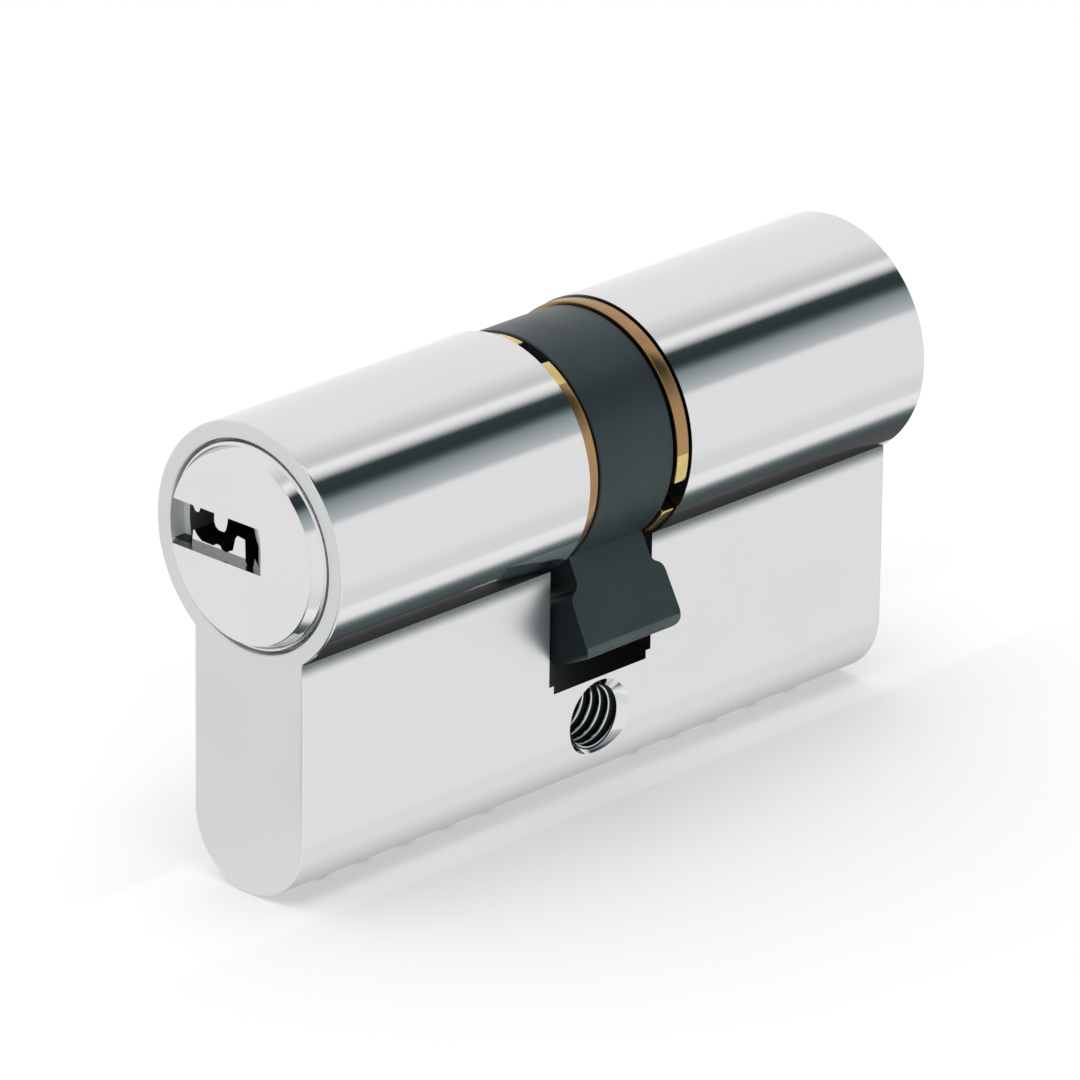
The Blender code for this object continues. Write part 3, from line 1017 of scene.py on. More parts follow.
@dataclass
class ScrewHole:
    """The threaded hole that the fixing screw goes into."""

    core_radius: float = 2.1 * MM
    root_radius: float = 2.5 * MM
    pitch: float = 0.8 * MM
    mouth_radius: float = 2.85 * MM
    cone_end: float = 2.28 * MM
    relief_depth: float = 0.12 * MM
    relief_inset: float = 0.05 * MM
    facets: int = 56

    def thread_tool(self, look: bpy.types.Material) -> bpy.types.Object:
        """Builds the screw-shaped tool that cuts the thread.

        Args:
            look: The material of the cut faces.

        Returns:
            The tool.
        """
        bm = bmesh.new()
        reach = BARREL.web / 2 + BEYOND
        turns = math.ceil(2 * reach / self.pitch) + 3
        crest = 0.13 * self.pitch
        rise = (self.pitch - 2 * crest) / 2
        profile = [
            (0.0, self.core_radius),
            (crest, self.core_radius),
            (crest + rise, self.root_radius),
            (2 * crest + rise, self.root_radius),
            (self.pitch, self.core_radius),
        ]
        start = -reach - 2 * self.pitch
        verts = [bm.verts.new(ACROSS * (start + along) - UP * radius) for along, radius in profile]
        edges = [bm.edges.new(pair) for pair in zip(verts, verts[1:])]
        bmesh.ops.spin(
            bm,
            geom=verts + edges,
            cent=(0, 0, 0),
            axis=ACROSS,
            dvec=ACROSS * (self.pitch / self.facets),
            angle=math.tau * turns,
            steps=self.facets * turns,
            use_merge=False,
        )
        bmesh.ops.remove_doubles(bm, verts=bm.verts, dist=MERGE)
        for place, outward in ((-reach, -ACROSS), (reach, ACROSS)):
            bmesh.ops.bisect_plane(
                bm,
                geom=bm.verts[:] + bm.edges[:] + bm.faces[:],
                dist=1e-8,
                plane_co=ACROSS * place,
                plane_no=outward,
                clear_outer=True,
            )
        rims = [edge for edge in bm.edges if edge.is_boundary]
        bmesh.ops.holes_fill(bm, edges=rims, sides=0)
        bmesh.ops.recalc_face_normals(bm, faces=bm.faces)
        return to_object(bm, "tool_thread", look)

    def mouth_tool(self, cone_look: bpy.types.Material, relief_look: bpy.types.Material) -> bpy.types.Object:
        """Builds the tool that sinks both of the hole's mouths, with a short relief under each cone.

        Args:
            cone_look: The material of the cones.
            relief_look: The material of the reliefs.

        Returns:
            The tool.
        """
        half = BARREL.web / 2
        sink = self.mouth_radius - self.cone_end
        relief = half - sink - self.relief_depth
        inner = self.core_radius - self.relief_inset
        profile = [(relief, 0.0), (relief, inner), (half - sink, self.cone_end)]
        profile += [(half + BEYOND, self.mouth_radius + BEYOND), (half + BEYOND, 0.0)]
        both = gathered(spun(profile, Vector(), ACROSS * way, UP, 72) for way in (-1, 1))
        for face in both.faces:
            middle = face.calc_center_median()
            face.material_index = int(math.hypot(middle.x, middle.z) < self.cone_end)
        return to_object(both, "tool_mouths", cone_look, relief_look)


@dataclass
class Housing:
    """The body: round barrel, flat web and round foot, with all its cuts."""

    bore_radius: float = 6.8 * MM
    mouth_radius: float = 7.3 * MM
    mouth_depth: float = 1.35 * MM
    mouth_edge: float = 0.08 * MM
    window_half: float = 4.9 * MM
    window_step: float = 0.45 * MM
    window_step_depth: float = 0.6 * MM
    window_below_axis: float = 15.2 * MM
    chamber_radius: float = 1.5 * MM
    end_edge: float = 0.16 * MM
    facets: int = 168
    foot_facets: int = 56
    screw_hole: ScrewHole = field(default_factory=ScrewHole)

    def blank(self, shop: PaintShop) -> bpy.types.Object:
        """Builds the uncut body with its eased end edges.

        Args:
            shop: The finishes.

        Returns:
            The uncut body.
        """
        half = BARREL.web / 2
        join = math.degrees(math.acos(half / BARREL.radius))
        outline = Outline("X").arc((0.0, BARREL.axis), BARREL.radius, -join, 180.0 + join, self.facets)
        outline.arc((0.0, BARREL.foot + half), half, 180.0, 360.0, self.foot_facets)
        bm = outline.push(-BARREL.half_length, BARREL.half_length)
        ease_edges(bm, self.end_edge, 3, lambda edge: sharp(edge, 60.0) and span(edge, "x") < 1e-6)
        looks = [shop.get(f) for f in (NICKEL_TURNED, NICKEL_MILLED, NICKEL_GROUND)]
        for face in bm.faces:
            middle = face.calc_center_median()
            if abs(face.normal.x) > 0.9:
                face.material_index = 2
            elif middle.z < BARREL.crease:
                face.material_index = 1
        return to_object(bm, "lock_housing", *looks)

    def bore_tool(self, look: bpy.types.Material, mouth_look: bpy.types.Material) -> bpy.types.Object:
        """Builds the stepped tool that bores the barrel.

        Args:
            look: The material of the bore.
            mouth_look: The material of its wider mouths.

        Returns:
            The tool.
        """
        end, edge = BARREL.half_length, self.mouth_edge
        half = [
            (end - self.mouth_depth, self.bore_radius),
            (end - self.mouth_depth, self.mouth_radius),
            (end - edge, self.mouth_radius),
            (end + BEYOND, self.mouth_radius + edge + BEYOND),
            (end + BEYOND, 0.0),
        ]
        profile = [(-along, radius) for along, radius in reversed(half)] + half
        bm = spun(profile, AXIS_POINT, ALONG, UP, self.facets)
        for face in bm.faces:
            face.material_index = int(abs(face.calc_center_median().x) > end - self.mouth_depth - edge)
        return to_object(bm, "tool_bore", look, mouth_look)

    def window_tool(self, low_look: bpy.types.Material, high_look: bpy.types.Material) -> bpy.types.Object:
        """Builds the tool that cuts the cam's window.

        Args:
            low_look: The material of the faces in the web.
            high_look: The material of the faces in the barrel.

        Returns:
            The tool.
        """
        wide, narrow = self.window_half, self.window_half - self.window_step
        floor = BARREL.axis - self.window_below_axis
        low = floor - self.window_step_depth
        top = BARREL.axis + BARREL.radius + BEYOND
        right = [(narrow, low), (narrow, floor), (wide, floor), (wide, BARREL.crease), (wide, top)]
        reach = BARREL.radius + BEYOND
        bm = Outline("Y", right + [(-x, z) for x, z in reversed(right)]).push(-reach, reach)
        for face in bm.faces:
            face.material_index = int(face.calc_center_median().z > BARREL.crease)
        return to_object(bm, "tool_window", low_look, high_look)

    def chamber_tool(self, look: bpy.types.Material) -> bpy.types.Object:
        """Builds the tool that drills the pin chambers.

        Args:
            look: The material of the cut faces.

        Returns:
            The tool.
        """
        low = BARREL.foot - BEYOND
        top = BARREL.axis - self.bore_radius + self.chamber_radius
        profile = [(low, 0.0), (low, self.chamber_radius), (top, self.chamber_radius), (top, 0.0)]
        stacks = [PinStack(side, number) for side in Side for number in PIN_NUMBERS]
        rods = gathered(spun(profile, stack.line, UP, ALONG, 40) for stack in stacks)
        return to_object(rods, "tool_chambers", look)

    def build(self, shop: PaintShop) -> None:
        """Builds the housing.

        Args:
            shop: The finishes.
        """
        body = self.blank(shop)
        # Painted shade: the window's walls in the web are near black.
        bored, dark = shop.get(NICKEL_BORED), shop.get(PAINTED_SHADE_BLACK)
        tools = [
            self.bore_tool(bored, shop.get(NICKEL_MOUTH)),
            self.window_tool(dark, shop.get(NICKEL_SHADED)),
            self.chamber_tool(bored),
            self.screw_hole.thread_tool(shop.get(THREAD)),
            self.screw_hole.mouth_tool(shop.get(NICKEL_POLISHED), shop.get(THREAD)),
        ]
        cut(body, tools)
        smooth(body)
        hand_over(body, "housing", "nickel_plate", "housing")


@dataclass
class Plug:
    """A turning plug with its proud head, key pocket and ribbed keyway."""

    side: Side
    radius: float = 6.5 * MM
    shoulder_radius: float = 6.86 * MM
    edge: float = 0.12 * MM
    flange_proud: float = 0.12 * MM
    flange_setback: float = 0.06 * MM
    flange_thickness: float = 0.99 * MM
    groove_radius: float = 5.2 * MM
    tail_radius: float = 6.0 * MM
    tail_end: float = 2.0 * MM
    groove_from: float = 4.9 * MM
    groove_to: float = 3.5 * MM
    pocket_floor: float = 1.3 * MM
    pocket_ceiling: float = 1.88 * MM
    pocket_end: float = 1.85 * MM
    pocket_depth: float = 0.72 * MM
    pocket_ramp: float = 1.4 * MM
    pocket_lip: float = 0.2 * MM
    keyway_ceiling: float = 1.75 * MM
    keyway_end: float = 1.75 * MM
    keyway_blind: float = 5.9 * MM
    keyway_overlap: float = 0.3 * MM
    past_rim: float = 1.5 * MM
    slot_half: float = 1.5 * MM
    slot_depth: float = 1.2 * MM
    pin_hole_radius: float = 1.5 * MM
    pin_hole_top: float = 0.6 * MM
    facets: int = 144

    @property
    def name(self) -> str:
        """The plug's node name."""
        return f"plug_{self.side.letter}"

    @property
    def face(self) -> float:
        """Where the head's face is on side A, along X."""
        low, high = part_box(self.name)
        return min(low.x, -high.x) if self.side is Side.A else -high.x

    def turn(self, bm: bmesh.types.BMesh) -> bmesh.types.BMesh:
        """Turns a shape that was made on side A to the plug's own side.

        Args:
            bm: The shape.

        Returns:
            The same shape.
        """
        if self.side is Side.B:
            bmesh.ops.rotate(bm, verts=bm.verts, cent=(0, 0, 0), matrix=Matrix.Rotation(math.pi, 3, "Z"))
        return bm

    def blank(self) -> bmesh.types.BMesh:
        """Turns the uncut plug.

        Returns:
            The uncut plug on side A.
        """
        low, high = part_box(self.name)
        rim = (high.y - low.y) / 2 + self.flange_proud
        flange = -BARREL.half_length + self.flange_setback
        back = flange + self.flange_thickness
        profile = [(self.face, 0.0), (self.face, self.radius), (flange, self.shoulder_radius)]
        profile += [(flange, rim), (back, rim), (back, self.radius), (-self.groove_from, self.radius)]
        profile += [(-self.groove_from, self.groove_radius), (-self.groove_to, self.groove_radius)]
        profile += [(-self.groove_to, self.tail_radius), (-self.tail_end, self.tail_radius)]
        profile += [(-self.tail_end, 0.0)]
        return spun(profile, AXIS_POINT, ALONG, UP, self.facets, self.edge)

    def keyway_outline(self) -> Profile:
        """The keyway's section with its ribs, open past the rim.

        Returns:
            Points as pairs of Y and Z.
        """
        rim = self.radius + self.past_rim
        floor = BARREL.axis - self.pocket_floor
        ceiling = BARREL.axis + self.keyway_ceiling
        low_ribs = [
            (5.20, 0.00), (5.10, 1.02), (4.98, 1.10), (4.75, 0.82), (4.30, 0.50), (3.25, 0.48),
            (2.90, 0.68), (2.60, 0.65), (2.45, 0.45), (2.20, 0.36), (1.95, 0.36), (1.69, 0.54),
            (1.42, 0.65), (1.19, 1.54), (1.00, 1.80), (0.30, 1.72), (0.25, 0.20), (0.12, 0.00),
            (-0.45, 0.00), (-0.58, 0.33), (-0.69, 0.71), (-1.05, 0.48), (-1.20, 0.35),
        ]
        high_ribs = [
            (-1.12, 1.12), (-0.84, 0.77), (-0.50, 0.00), (1.84, 0.00), (1.93, 0.70), (2.07, 1.17),
            (2.22, 1.35), (2.71, 1.35), (3.00, 1.17), (3.14, 0.83), (3.15, 0.00), (4.42, 0.00),
            (4.46, 0.46), (4.60, 0.63), (4.85, 0.62), (5.06, 0.36), (5.20, 0.00),
        ]
        low = [(y * MM, floor + rise * MM) for y, rise in low_ribs]
        end = [(-self.keyway_end, low[-1][1]), (-self.keyway_end, BARREL.axis)]
        high = [(y * MM, ceiling - drop * MM) for y, drop in high_ribs]
        return [(rim, floor)] + low + end + high + [(rim, ceiling)]

    def tools(self, shop: PaintShop) -> list[bpy.types.Object]:
        """Builds the tools that cut the plug.

        Args:
            shop: The finishes.

        Returns:
            The tools.
        """
        rim = self.radius + self.past_rim
        floor = self.face + self.pocket_depth
        plan = [(self.face - BEYOND, rim), (floor, rim), (floor, -self.pocket_end + self.pocket_ramp)]
        plan += [(self.face + self.pocket_lip, -self.pocket_end), (self.face - BEYOND, -self.pocket_end)]
        low, top = BARREL.axis - self.pocket_floor, BARREL.axis + self.pocket_ceiling
        pocket = Outline("Z", plan).push(low, top)
        for face in pocket.faces:
            face.material_index = int(abs(face.normal.z) > 0.5)
        deep = floor - self.keyway_overlap
        keyway = Outline("X", self.keyway_outline()).push(deep, -self.keyway_blind)
        half, end = self.slot_half, -self.tail_end
        bar = [(-rim, -half), (rim, -half), (rim, half), (-rim, half)]
        slot = Outline("X", [(y, BARREL.axis + z) for y, z in bar]).push(end - self.slot_depth, end + BEYOND)
        low, top = BARREL.axis - self.radius - BEYOND, BARREL.axis + self.pin_hole_top
        rod = [(low, 0.0), (low, self.pin_hole_radius), (top, self.pin_hole_radius), (top, 0.0)]
        lines = [PinStack(Side.A, number).line for number in PIN_NUMBERS]
        holes = gathered(spun(rod, line, UP, ALONG, 36) for line in lines)
        bored, walls = shop.get(NICKEL_BORED), (shop.get(NICKEL_POLISHED), shop.get(NICKEL_SHADED))
        return [
            to_object(self.turn(pocket), "tool_pocket", *walls),
            # The keyway's walls are near black painted shade.
            to_object(self.turn(keyway), "tool_keyway", shop.get(PAINTED_SHADE_BLACK)),
            to_object(self.turn(slot), "tool_slot", bored),
            to_object(self.turn(holes), "tool_holes", bored),
        ]

    def build(self, shop: PaintShop) -> None:
        """Builds the plug.

        Args:
            shop: The finishes.
        """
        obj = to_object(self.turn(self.blank()), f"lock_{self.name}", shop.get(NICKEL_POLISHED))
        cut(obj, self.tools(shop))
        smooth(obj)
        hand_over(obj, self.name, "nickel_plate", self.name)


@dataclass
class Circlip:
    """An open spring-bronze ring that holds a plug in its half."""

    side: Side
    mouth_at: float
    sprung_out: float = 0.0
    mouth: float = 17.0
    bore_radius: float = 5.5 * MM
    spread: float = 0.1 * MM
    edge: float = 0.1 * MM
    bright_end: float = 15.0
    facets: int = 120

    def build(self, shop: PaintShop) -> None:
        """Builds the ring, with a painted highlight that makes its two ends brighter than the rest.

        Args:
            shop: The finishes.
        """
        node = f"circlip_{self.side.letter}"
        low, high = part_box(node)
        radius = (high.z - low.z) / 2 + self.sprung_out
        first, last = self.mouth_at + self.mouth / 2, self.mouth_at + 360.0 - self.mouth / 2
        centre = (0.0, BARREL.axis)
        outline = Outline("X").arc(centre, radius, first, last, self.facets)
        outline.arc(centre, self.bore_radius, last, first, self.facets)
        bm = outline.push(low.x - self.spread, high.x + self.spread)
        ease_edges(bm, self.edge, 3, lambda edge: sharp(edge, 50.0))
        for face in bm.faces:
            middle = face.calc_center_median()
            around = math.degrees(math.atan2(middle.z - BARREL.axis, middle.y)) - self.mouth_at
            away = abs(math.remainder(around, 360.0)) - self.mouth / 2
            # Faces near the mouth take the lighter painted highlight.
            if abs(face.normal.x) < 0.9 and away < self.bright_end:
                face.material_index = 1
        obj = to_object(bm, f"lock_{node}", shop.get(BRONZE), shop.get(BRONZE_END_HIGHLIGHT))
        smooth(obj)
        hand_over(obj, f"plug_{self.side.letter}", "bronze", node)


@dataclass
class Cam:
    """The sintered ring and nose that throw the bolt."""

    radius: float = 8.17 * MM
    bore_radius: float = 6.3 * MM
    ring_half: float = 3.5 * MM
    groove_radius: float = 7.2 * MM
    groove_half: float = 1.7 * MM
    nose_angle: float = -117.0
    nose_reach: float = 14.7 * MM
    nose_thickness: float = 3.9 * MM
    nose_width: float = 9.1 * MM
    shoulder_width: float = 8.9 * MM
    neck_reach: float = 9.95 * MM
    shoulder_height: float = 0.5 * MM
    corner: float = 0.42 * MM
    tip_round: float = 0.85 * MM
    tip_taper_height: float = 1.0 * MM
    tip_taper: float = 0.12 * MM
    groove_reach: float = 5.0 * MM
    side_overlap: float = 0.5 * MM
    flat_enough: float = 0.985
    edge: float = 0.14 * MM
    facets: int = 144

    def ring(self) -> bmesh.types.BMesh:
        """Turns the ring with eased edges.

        Returns:
            The ring.
        """
        half = self.ring_half
        profile = [(-half, self.bore_radius), (-half, self.radius)]
        profile += [(half, self.radius), (half, self.bore_radius)]
        return spun(profile, AXIS_POINT, ALONG, UP, self.facets, self.edge, closed=True)

    def on_nose(self, edge: bmesh.types.BMEdge) -> bool:
        """Whether an edge lies outside the ring, while the nose still points up."""
        return min(vert.co.z for vert in edge.verts) > self.radius

    def nose(self, look: bpy.types.Material, edge_highlight: bpy.types.Material) -> bpy.types.Object:
        """Builds the nose: neck, shoulders, round corners and a rounded tip.

        Args:
            look: The material of its faces.
            edge_highlight: The material of its rounded edges, lighter as a painted highlight.

        Returns:
            The nose, in its place.
        """
        root = (self.radius + self.bore_radius) / 2
        neck, shoulder, tip = self.ring_half, self.shoulder_width / 2, self.nose_width / 2
        right = [(neck, root), (neck, self.neck_reach), (shoulder, self.neck_reach + self.shoulder_height)]
        right += [(tip, self.nose_reach - self.tip_taper_height), (tip - self.tip_taper, self.nose_reach)]
        flank = self.nose_thickness / 2
        wall = flank + BEYOND
        plan = Outline("Y", right + [(-x, z) for x, z in reversed(right)]).push(-wall, wall)
        ease_edges(
            plan,
            self.corner,
            5,
            lambda edge: sharp(edge, 15.0) and self.on_nose(edge) and span(edge, "y") > flank,
        )
        obj = to_object(plan, "nose", look, edge_highlight)
        side = [(flank, root - self.side_overlap), (flank, self.nose_reach)]
        reach = self.nose_width
        section = Outline("X", side + [(-y, z) for y, z in reversed(side)]).push(-reach, reach)
        ease_edges(
            section,
            self.tip_round,
            8,
            lambda edge: sharp(edge) and self.on_nose(edge) and span(edge, "x") > reach,
        )
        # Rounded faces take the lighter painted highlight.
        for face in section.faces:
            face.material_index = int(max(abs(part) for part in face.normal) < self.flat_enough)
        cut(obj, [to_object(section, "tool_side", look, edge_highlight)], "INTERSECT")
        step = obj.modifiers.new("eased", "BEVEL")
        step.width = self.edge
        step.segments = 2
        step.limit_method = "ANGLE"
        step.angle_limit = math.radians(50.0)
        # The bevels take the lighter painted highlight.
        step.material = 1
        settle(obj)
        turn = Matrix.Rotation(math.radians(self.nose_angle - 90.0), 4, "X")
        obj.data.transform(Matrix.Translation(AXIS_POINT) @ turn)
        return obj

    def build(self, shop: PaintShop) -> None:
        """Builds the cam.

        Args:
            shop: The finishes.
        """
        look = shop.get(SINTERED)
        obj = to_object(self.ring(), "lock_cam", look)
        # The nose's rounded edges carry the lighter painted highlight.
        cut(obj, [self.nose(look, shop.get(SINTERED_EDGE_HIGHLIGHT))], "UNION")
        half, radius, reach = self.groove_half, self.groove_radius, self.groove_reach
        bar = [(-radius, -half), (radius, -half), (radius, half), (-radius, half)]
        tool = Outline("X", [(y, BARREL.axis + z) for y, z in bar]).push(-reach, reach)
        cut(obj, [to_object(tool, "tool_grooves", look)])
        smooth(obj)
        hand_over(obj, "cam", "sintered_steel", "cam")


@dataclass
class PinStack:
    """One chamber's key pin, driver pin, spring and plug."""

    side: Side
    number: int
    edge: float = 0.2 * MM
    cone_height: float = 0.6 * MM
    cone_flat: float = 0.5 * MM
    waist_depth: float = 0.2 * MM
    waist_from: float = 1.2 * MM
    waist_below_top: float = 0.9 * MM
    dimple_depth: float = 0.15 * MM
    dimple_radius: float = 0.35 * MM
    wire: float = 0.17 * MM
    turns: int = 6
    coil_steps: int = 18
    squashed: float = 0.855
    facets: int = 40

    @property
    def tag(self) -> str:
        """The letter and number that the stack's names end with."""
        return f"{self.side.letter}{self.number}"

    @property
    def line(self) -> Vector:
        """The point at height 0 on the stack's line."""
        low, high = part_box(f"driver_pin_{self.tag}")
        return Vector(((low.x + high.x) / 2, 0.0, 0.0))

    def turned(
        self,
        node: str,
        profile: Callable[[float, float, float], Profile],
        edge: float,
        look: bpy.types.Material,
    ) -> bpy.types.Object:
        """Turns a piece as high and as thick as its node.

        Args:
            node: The node's name.
            profile: Gives the profile from the lowest point, the highest point and the radius.
            edge: How far from each corner its rounding starts.
            look: The material.

        Returns:
            The piece.
        """
        low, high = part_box(node)
        shape = profile(low.z, high.z, (high.x - low.x) / 2)
        bm = spun(shape, self.line, UP, ALONG, self.facets, edge)
        return smooth(to_object(bm, f"lock_{node}", look))

    def key_pin_profile(self, low: float, high: float, radius: float) -> Profile:
        """The pin that the key lifts, with its cone at the top."""
        cone = [(high - self.cone_height, radius), (high, self.cone_flat), (high, 0.0)]
        return [(low, 0.0), (low, radius)] + cone

    def driver_pin_profile(self, low: float, high: float, radius: float) -> Profile:
        """The pin that the spring pushes, with its waist."""
        waist, step = radius - self.waist_depth, self.waist_depth
        bottom, top = low + self.waist_from, high - self.waist_below_top
        profile = [(low, 0.0), (low, radius), (bottom, radius), (bottom + step, waist)]
        return profile + [(top - step, waist), (top, radius), (high, radius), (high, 0.0)]

    def chamber_plug_profile(self, low: float, high: float, radius: float) -> Profile:
        """The pressed disc that closes the chamber, with a dimple from the punch."""
        dimple = [(low + self.dimple_depth, 0.0), (low, self.dimple_radius)]
        return dimple + [(low, radius), (high, radius), (high, 0.0)]

    def spring(self, shop: PaintShop) -> None:
        """Builds the round-wire spring.

        Args:
            shop: The finishes.
        """
        node = f"pin_spring_{self.tag}"
        low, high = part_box(node)
        middle = self.line + UP * (low.z + self.wire)
        radius = (high.y - low.y) / 2 - self.wire
        steps = self.coil_steps * self.turns
        rise = (high.z - low.z - 2 * self.wire) / steps
        bm = bmesh.new()
        turn = Matrix.Translation(middle + ALONG * radius) @ Matrix.Rotation(math.pi / 2, 4, "X")
        bmesh.ops.create_circle(bm, cap_ends=False, radius=self.wire, segments=8, matrix=turn)
        bmesh.ops.spin(
            bm,
            geom=bm.verts[:] + bm.edges[:],
            cent=middle,
            axis=UP,
            dvec=UP * rise,
            angle=math.tau * self.turns,
            steps=steps,
            use_merge=False,
        )
        bmesh.ops.holes_fill(bm, edges=[edge for edge in bm.edges if edge.is_boundary], sides=0)
        bmesh.ops.recalc_face_normals(bm, faces=bm.faces)
        obj = smooth(to_object(bm, f"lock_{node}", shop.get(STEEL_DRAWN)), angle=60.0, weighted=False)
        hand_over(obj, "housing", "spring_steel", node)
        f"driver_pin_{self.tag}_slide"
        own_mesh(obj)

    def build(self, shop: PaintShop) -> None:
        """Builds the stack.

        Args:
            shop: The finishes.
        """
        brass, steel = shop.get(BRASS_TURNED), shop.get(STEEL_DRAWN)
        key_pin, driver, disc = (f"{kind}_{self.tag}" for kind in ("key_pin", "driver_pin", "chamber_plug"))
        key_piece = self.turned(key_pin, self.key_pin_profile, self.edge, brass)
        hand_over(key_piece, key_pin, "brass", key_pin)
        driver_piece = self.turned(driver, self.driver_pin_profile, self.edge / 2, steel)
        hand_over(driver_piece, driver, "spring_steel", driver)
        disc_piece = self.turned(disc, self.chamber_plug_profile, self.edge / 2, brass)
        hand_over(disc_piece, "housing", "brass", disc)
        self.spring(shop)


@dataclass
class Clutch:
    """The sliding coupling, kept as the frame has it."""

    def build(self, shop: PaintShop) -> None:
        """Gives the clutch its finish.

        Args:
            shop: The finishes.
        """
        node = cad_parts["clutch"]
        node.data.materials.clear()
        node.data.materials.append(shop.get(STEEL_DRAWN))
        LOG.info("clutch: kept, with the finish %s", STEEL_DRAWN.name)


# ----------------------------------------------------------------------------------------------
# Studio
# ----------------------------------------------------------------------------------------------


@dataclass
class Studio:
    """Plain pale floor, soft light in long strips beside the barrel, and the camera."""

    floor_size: float = 8.0
    floor_tone: Colour = (0.93, 0.93, 0.93)
    floor_gap: float = 0.02 * MM
    camera_place: tuple[float, float, float] = (-0.45597, -0.43426, 0.26506)
    camera_right: tuple[float, float, float] = (0.69336, -0.72051, 0.01095)
    camera_up: tuple[float, float, float] = (0.26215, 0.26636, 0.92753)
    lens: float = 339.1
    pad_reach: float = 60.0 * MM
    pad_half: float = 6.2 * MM
    pad_glow: float = 0.94
    pad_far_glow: float = 0.055
    pad_far: float = 20.0 * MM
    pad_gap: float = 0.01 * MM
    lamp_size: float = 1.2
    lamp_energy: float = 6.0
    lamp_place: tuple[float, float, float] = (-0.2, -0.3, 1.0)
    plain_from: float = 0.78
    plain_to: float = 0.93
    plain_tone: Colour = (0.95, 0.95, 0.95)
    strips: tuple[tuple[float, Colour], ...] = (
        (-90.0, (0.075, 0.10, 0.105)),
        (-84.0, (0.085, 0.11, 0.115)),
        (-74.0, (0.9, 0.9, 0.9)),
        (-30.0, (1.0, 1.0, 1.0)),
        (78.0, (1.0, 1.0, 1.0)),
        (90.0, (0.84, 0.85, 0.86)),
        (98.0, (0.72, 0.73, 0.74)),
        (102.0, (0.82, 0.82, 0.84)),
        (105.5, (1.12, 1.12, 1.13)),
        (110.5, (1.0, 1.0, 1.0)),
        (114.0, (0.60, 0.62, 0.64)),
        (118.0, (0.035, 0.052, 0.055)),
        (130.0, (0.03, 0.045, 0.048)),
        (134.0, (0.10, 0.13, 0.13)),
        (138.0, (0.26, 0.31, 0.32)),
        (147.0, (0.43, 0.48, 0.50)),
        (155.0, (0.58, 0.61, 0.64)),
        (159.5, (1.0, 1.0, 1.0)),
        (212.0, (1.0, 1.0, 1.0)),
        (224.0, (0.89, 0.91, 0.90)),
        (235.0, (0.87, 0.90, 0.89)),
        (240.0, (1.08, 1.09, 1.09)),
        (250.5, (1.0, 1.0, 1.0)),
        (257.5, (0.2, 0.24, 0.24)),
        (263.0, (0.09, 0.12, 0.125)),
        (270.0, (0.075, 0.10, 0.105)),
    )

    def light(self) -> None:
        """Builds the soft surround: long strips parallel to the barrel, plain towards its two ends."""
        world = bpy.data.worlds.new("studio")
        bpy.context.scene.world = world
        world.use_nodes = True
        sheet = Sheet(world.node_tree)
        background = world.node_tree.nodes["Background"]
        x, y, z = sheet.parts(sheet.add("ShaderNodeTexCoord").outputs["Generated"])
        turn = sheet.maths("ARCTAN2", z, y)
        share = sheet.maths("FRACT", sheet.maths("ADD", sheet.maths("DIVIDE", turn, math.tau), 1.25))
        ramp = sheet.add("ShaderNodeValToRGB", {"Fac": share})
        stops = ramp.color_ramp.elements
        while len(stops) > 1:
            stops.remove(stops[-1])
        for number, (angle, tone) in enumerate(self.strips):
            place = (angle + 90.0) / 360.0
            stop = stops[0] if number == 0 else stops.new(place)
            stop.position = place
            stop.color = (*tone, 1.0)
        to_end = sheet.ramp(sheet.maths("ABSOLUTE", x), self.plain_from, self.plain_to)
        toned = sheet.mix(to_end, ramp.outputs["Color"], self.plain_tone)
        seen = sheet.add("ShaderNodeLightPath").outputs["Is Camera Ray"]
        plain = sheet.mix(seen, toned, (1.0, 1.0, 1.0))
        world.node_tree.links.new(plain, background.inputs["Color"])
        background.inputs["Strength"].default_value = 1.0

    def floor(self) -> None:
        """Lays the floor under the foot."""
        bm = bmesh.new()
        bmesh.ops.create_grid(bm, x_segments=1, y_segments=1, size=self.floor_size / 2)
        bmesh.ops.translate(bm, verts=bm.verts, vec=(0.0, 0.0, BARREL.foot - self.floor_gap))
        look = bpy.data.materials.new("studio_floor")
        look.use_nodes = True
        sheet = Sheet(look.node_tree)
        shader = look.node_tree.nodes["Principled BSDF"]
        coords = sheet.add("ShaderNodeTexCoord").outputs["Object"]
        noise = sheet.add("ShaderNodeTexNoise", {"Vector": coords, "Scale": 60.0, "Detail": 2.0})
        darker = tuple(part * 0.99 for part in self.floor_tone)
        tone = sheet.mix(noise.outputs["Fac"], self.floor_tone, darker)
        look.node_tree.links.new(tone, shader.inputs["Base Color"])
        shader.inputs["Roughness"].default_value = 0.9
        floor = to_object(bm, "studio_floor", look)
        floor.visible_glossy = False

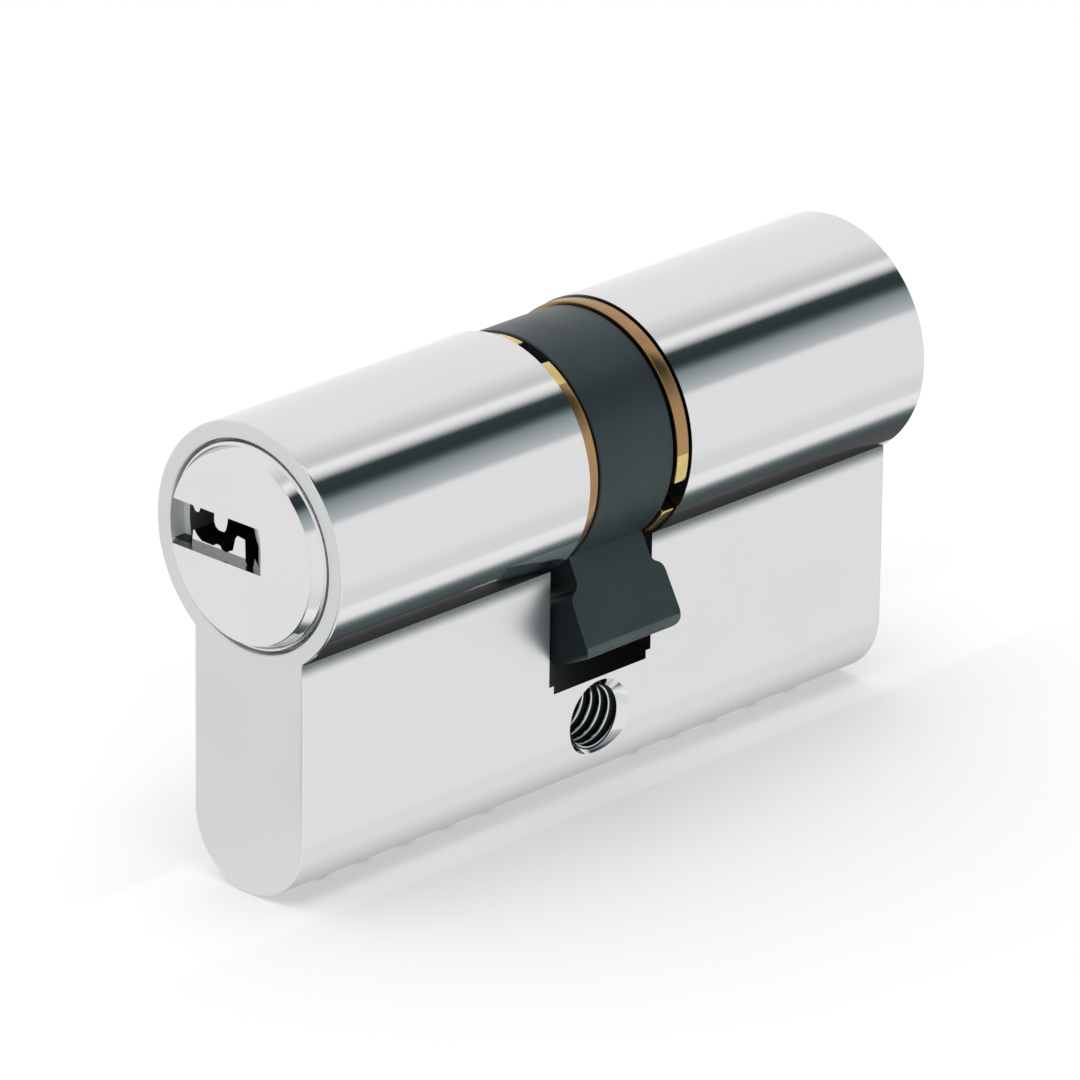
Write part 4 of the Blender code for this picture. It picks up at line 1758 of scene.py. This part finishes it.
    def pad(self) -> None:
        """Lays a small pad under the foot. Metal that is close mirrors it bright, and other metal dark."""
        bm = bmesh.new()
        bmesh.ops.create_grid(bm, x_segments=1, y_segments=1, size=1.0)
        bmesh.ops.scale(bm, verts=bm.verts, vec=(self.pad_reach, self.pad_half, 1.0))
        bmesh.ops.translate(bm, verts=bm.verts, vec=(0.0, 0.0, BARREL.foot - self.pad_gap))
        look = bpy.data.materials.new("studio_pad")
        look.use_nodes = True
        shader = look.node_tree.nodes["Principled BSDF"]
        shader.inputs["Base Color"].default_value = (0.0, 0.0, 0.0, 1.0)
        shader.inputs["Emission Strength"].default_value = 1.0
        sheet = Sheet(look.node_tree)
        near = sheet.maths("LESS_THAN", sheet.add("ShaderNodeLightPath").outputs["Ray Length"], self.pad_far)
        glow = sheet.mix(near, (self.pad_far_glow,) * 3, (self.pad_glow,) * 3)
        look.node_tree.links.new(glow, shader.inputs["Emission Color"])
        pad = to_object(bm, "studio_pad", look)
        pad.visible_camera = pad.visible_diffuse = pad.visible_shadow = False

    def lamp(self) -> None:
        """Hangs a large soft lamp over the floor. Metal doesn't mirror it."""
        data = bpy.data.lights.new("soft_box", "AREA")
        data.shape = "SQUARE"
        data.size = self.lamp_size
        data.energy = self.lamp_energy
        lamp = bpy.data.objects.new("soft_box", data)
        lamp.location = self.lamp_place
        lamp.rotation_euler = (-Vector(self.lamp_place)).to_track_quat("-Z", "Y").to_euler()
        lamp.visible_glossy = False
        bpy.context.scene.collection.objects.link(lamp)

    def camera(self) -> None:
        """Places the camera."""
        data = bpy.data.cameras.new("camera")
        data.lens = self.lens
        data.sensor_width = 36.0
        data.clip_start = 0.01
        data.clip_end = 50.0
        camera = bpy.data.objects.new("camera", data)
        right, up = Vector(self.camera_right).normalized(), Vector(self.camera_up).normalized()
        back = right.cross(up).normalized()
        up = back.cross(right)
        rows = [(right[i], up[i], back[i], self.camera_place[i]) for i in range(3)]
        camera.matrix_world = Matrix(rows + [(0.0, 0.0, 0.0, 1.0)])
        bpy.context.scene.collection.objects.link(camera)
        bpy.context.scene.camera = camera

    def build(self) -> None:
        """Sets up the studio."""
        self.camera()
        self.light()
        self.floor()
        self.pad()
        self.lamp()
        bpy.context.scene.view_settings.view_transform = "Standard"
        LOG.info("studio: floor, surround, lamp and camera")


def main() -> None:
    """Builds the studio and every sub-assembly in order."""
    logging.basicConfig(level=logging.INFO, format="%(name)s %(message)s")
    Studio().build()
    shop = PaintShop()
    Housing().build(shop)
    for clip in (Circlip(Side.A, 106.5), Circlip(Side.B, -156.5, sprung_out=0.3 * MM)):
        Plug(clip.side).build(shop)
        clip.build(shop)
        for number in PIN_NUMBERS:
            PinStack(clip.side, number).build(shop)
    Cam().build(shop)
    Clutch().build(shop)


if __name__ == "__main__":
    main()
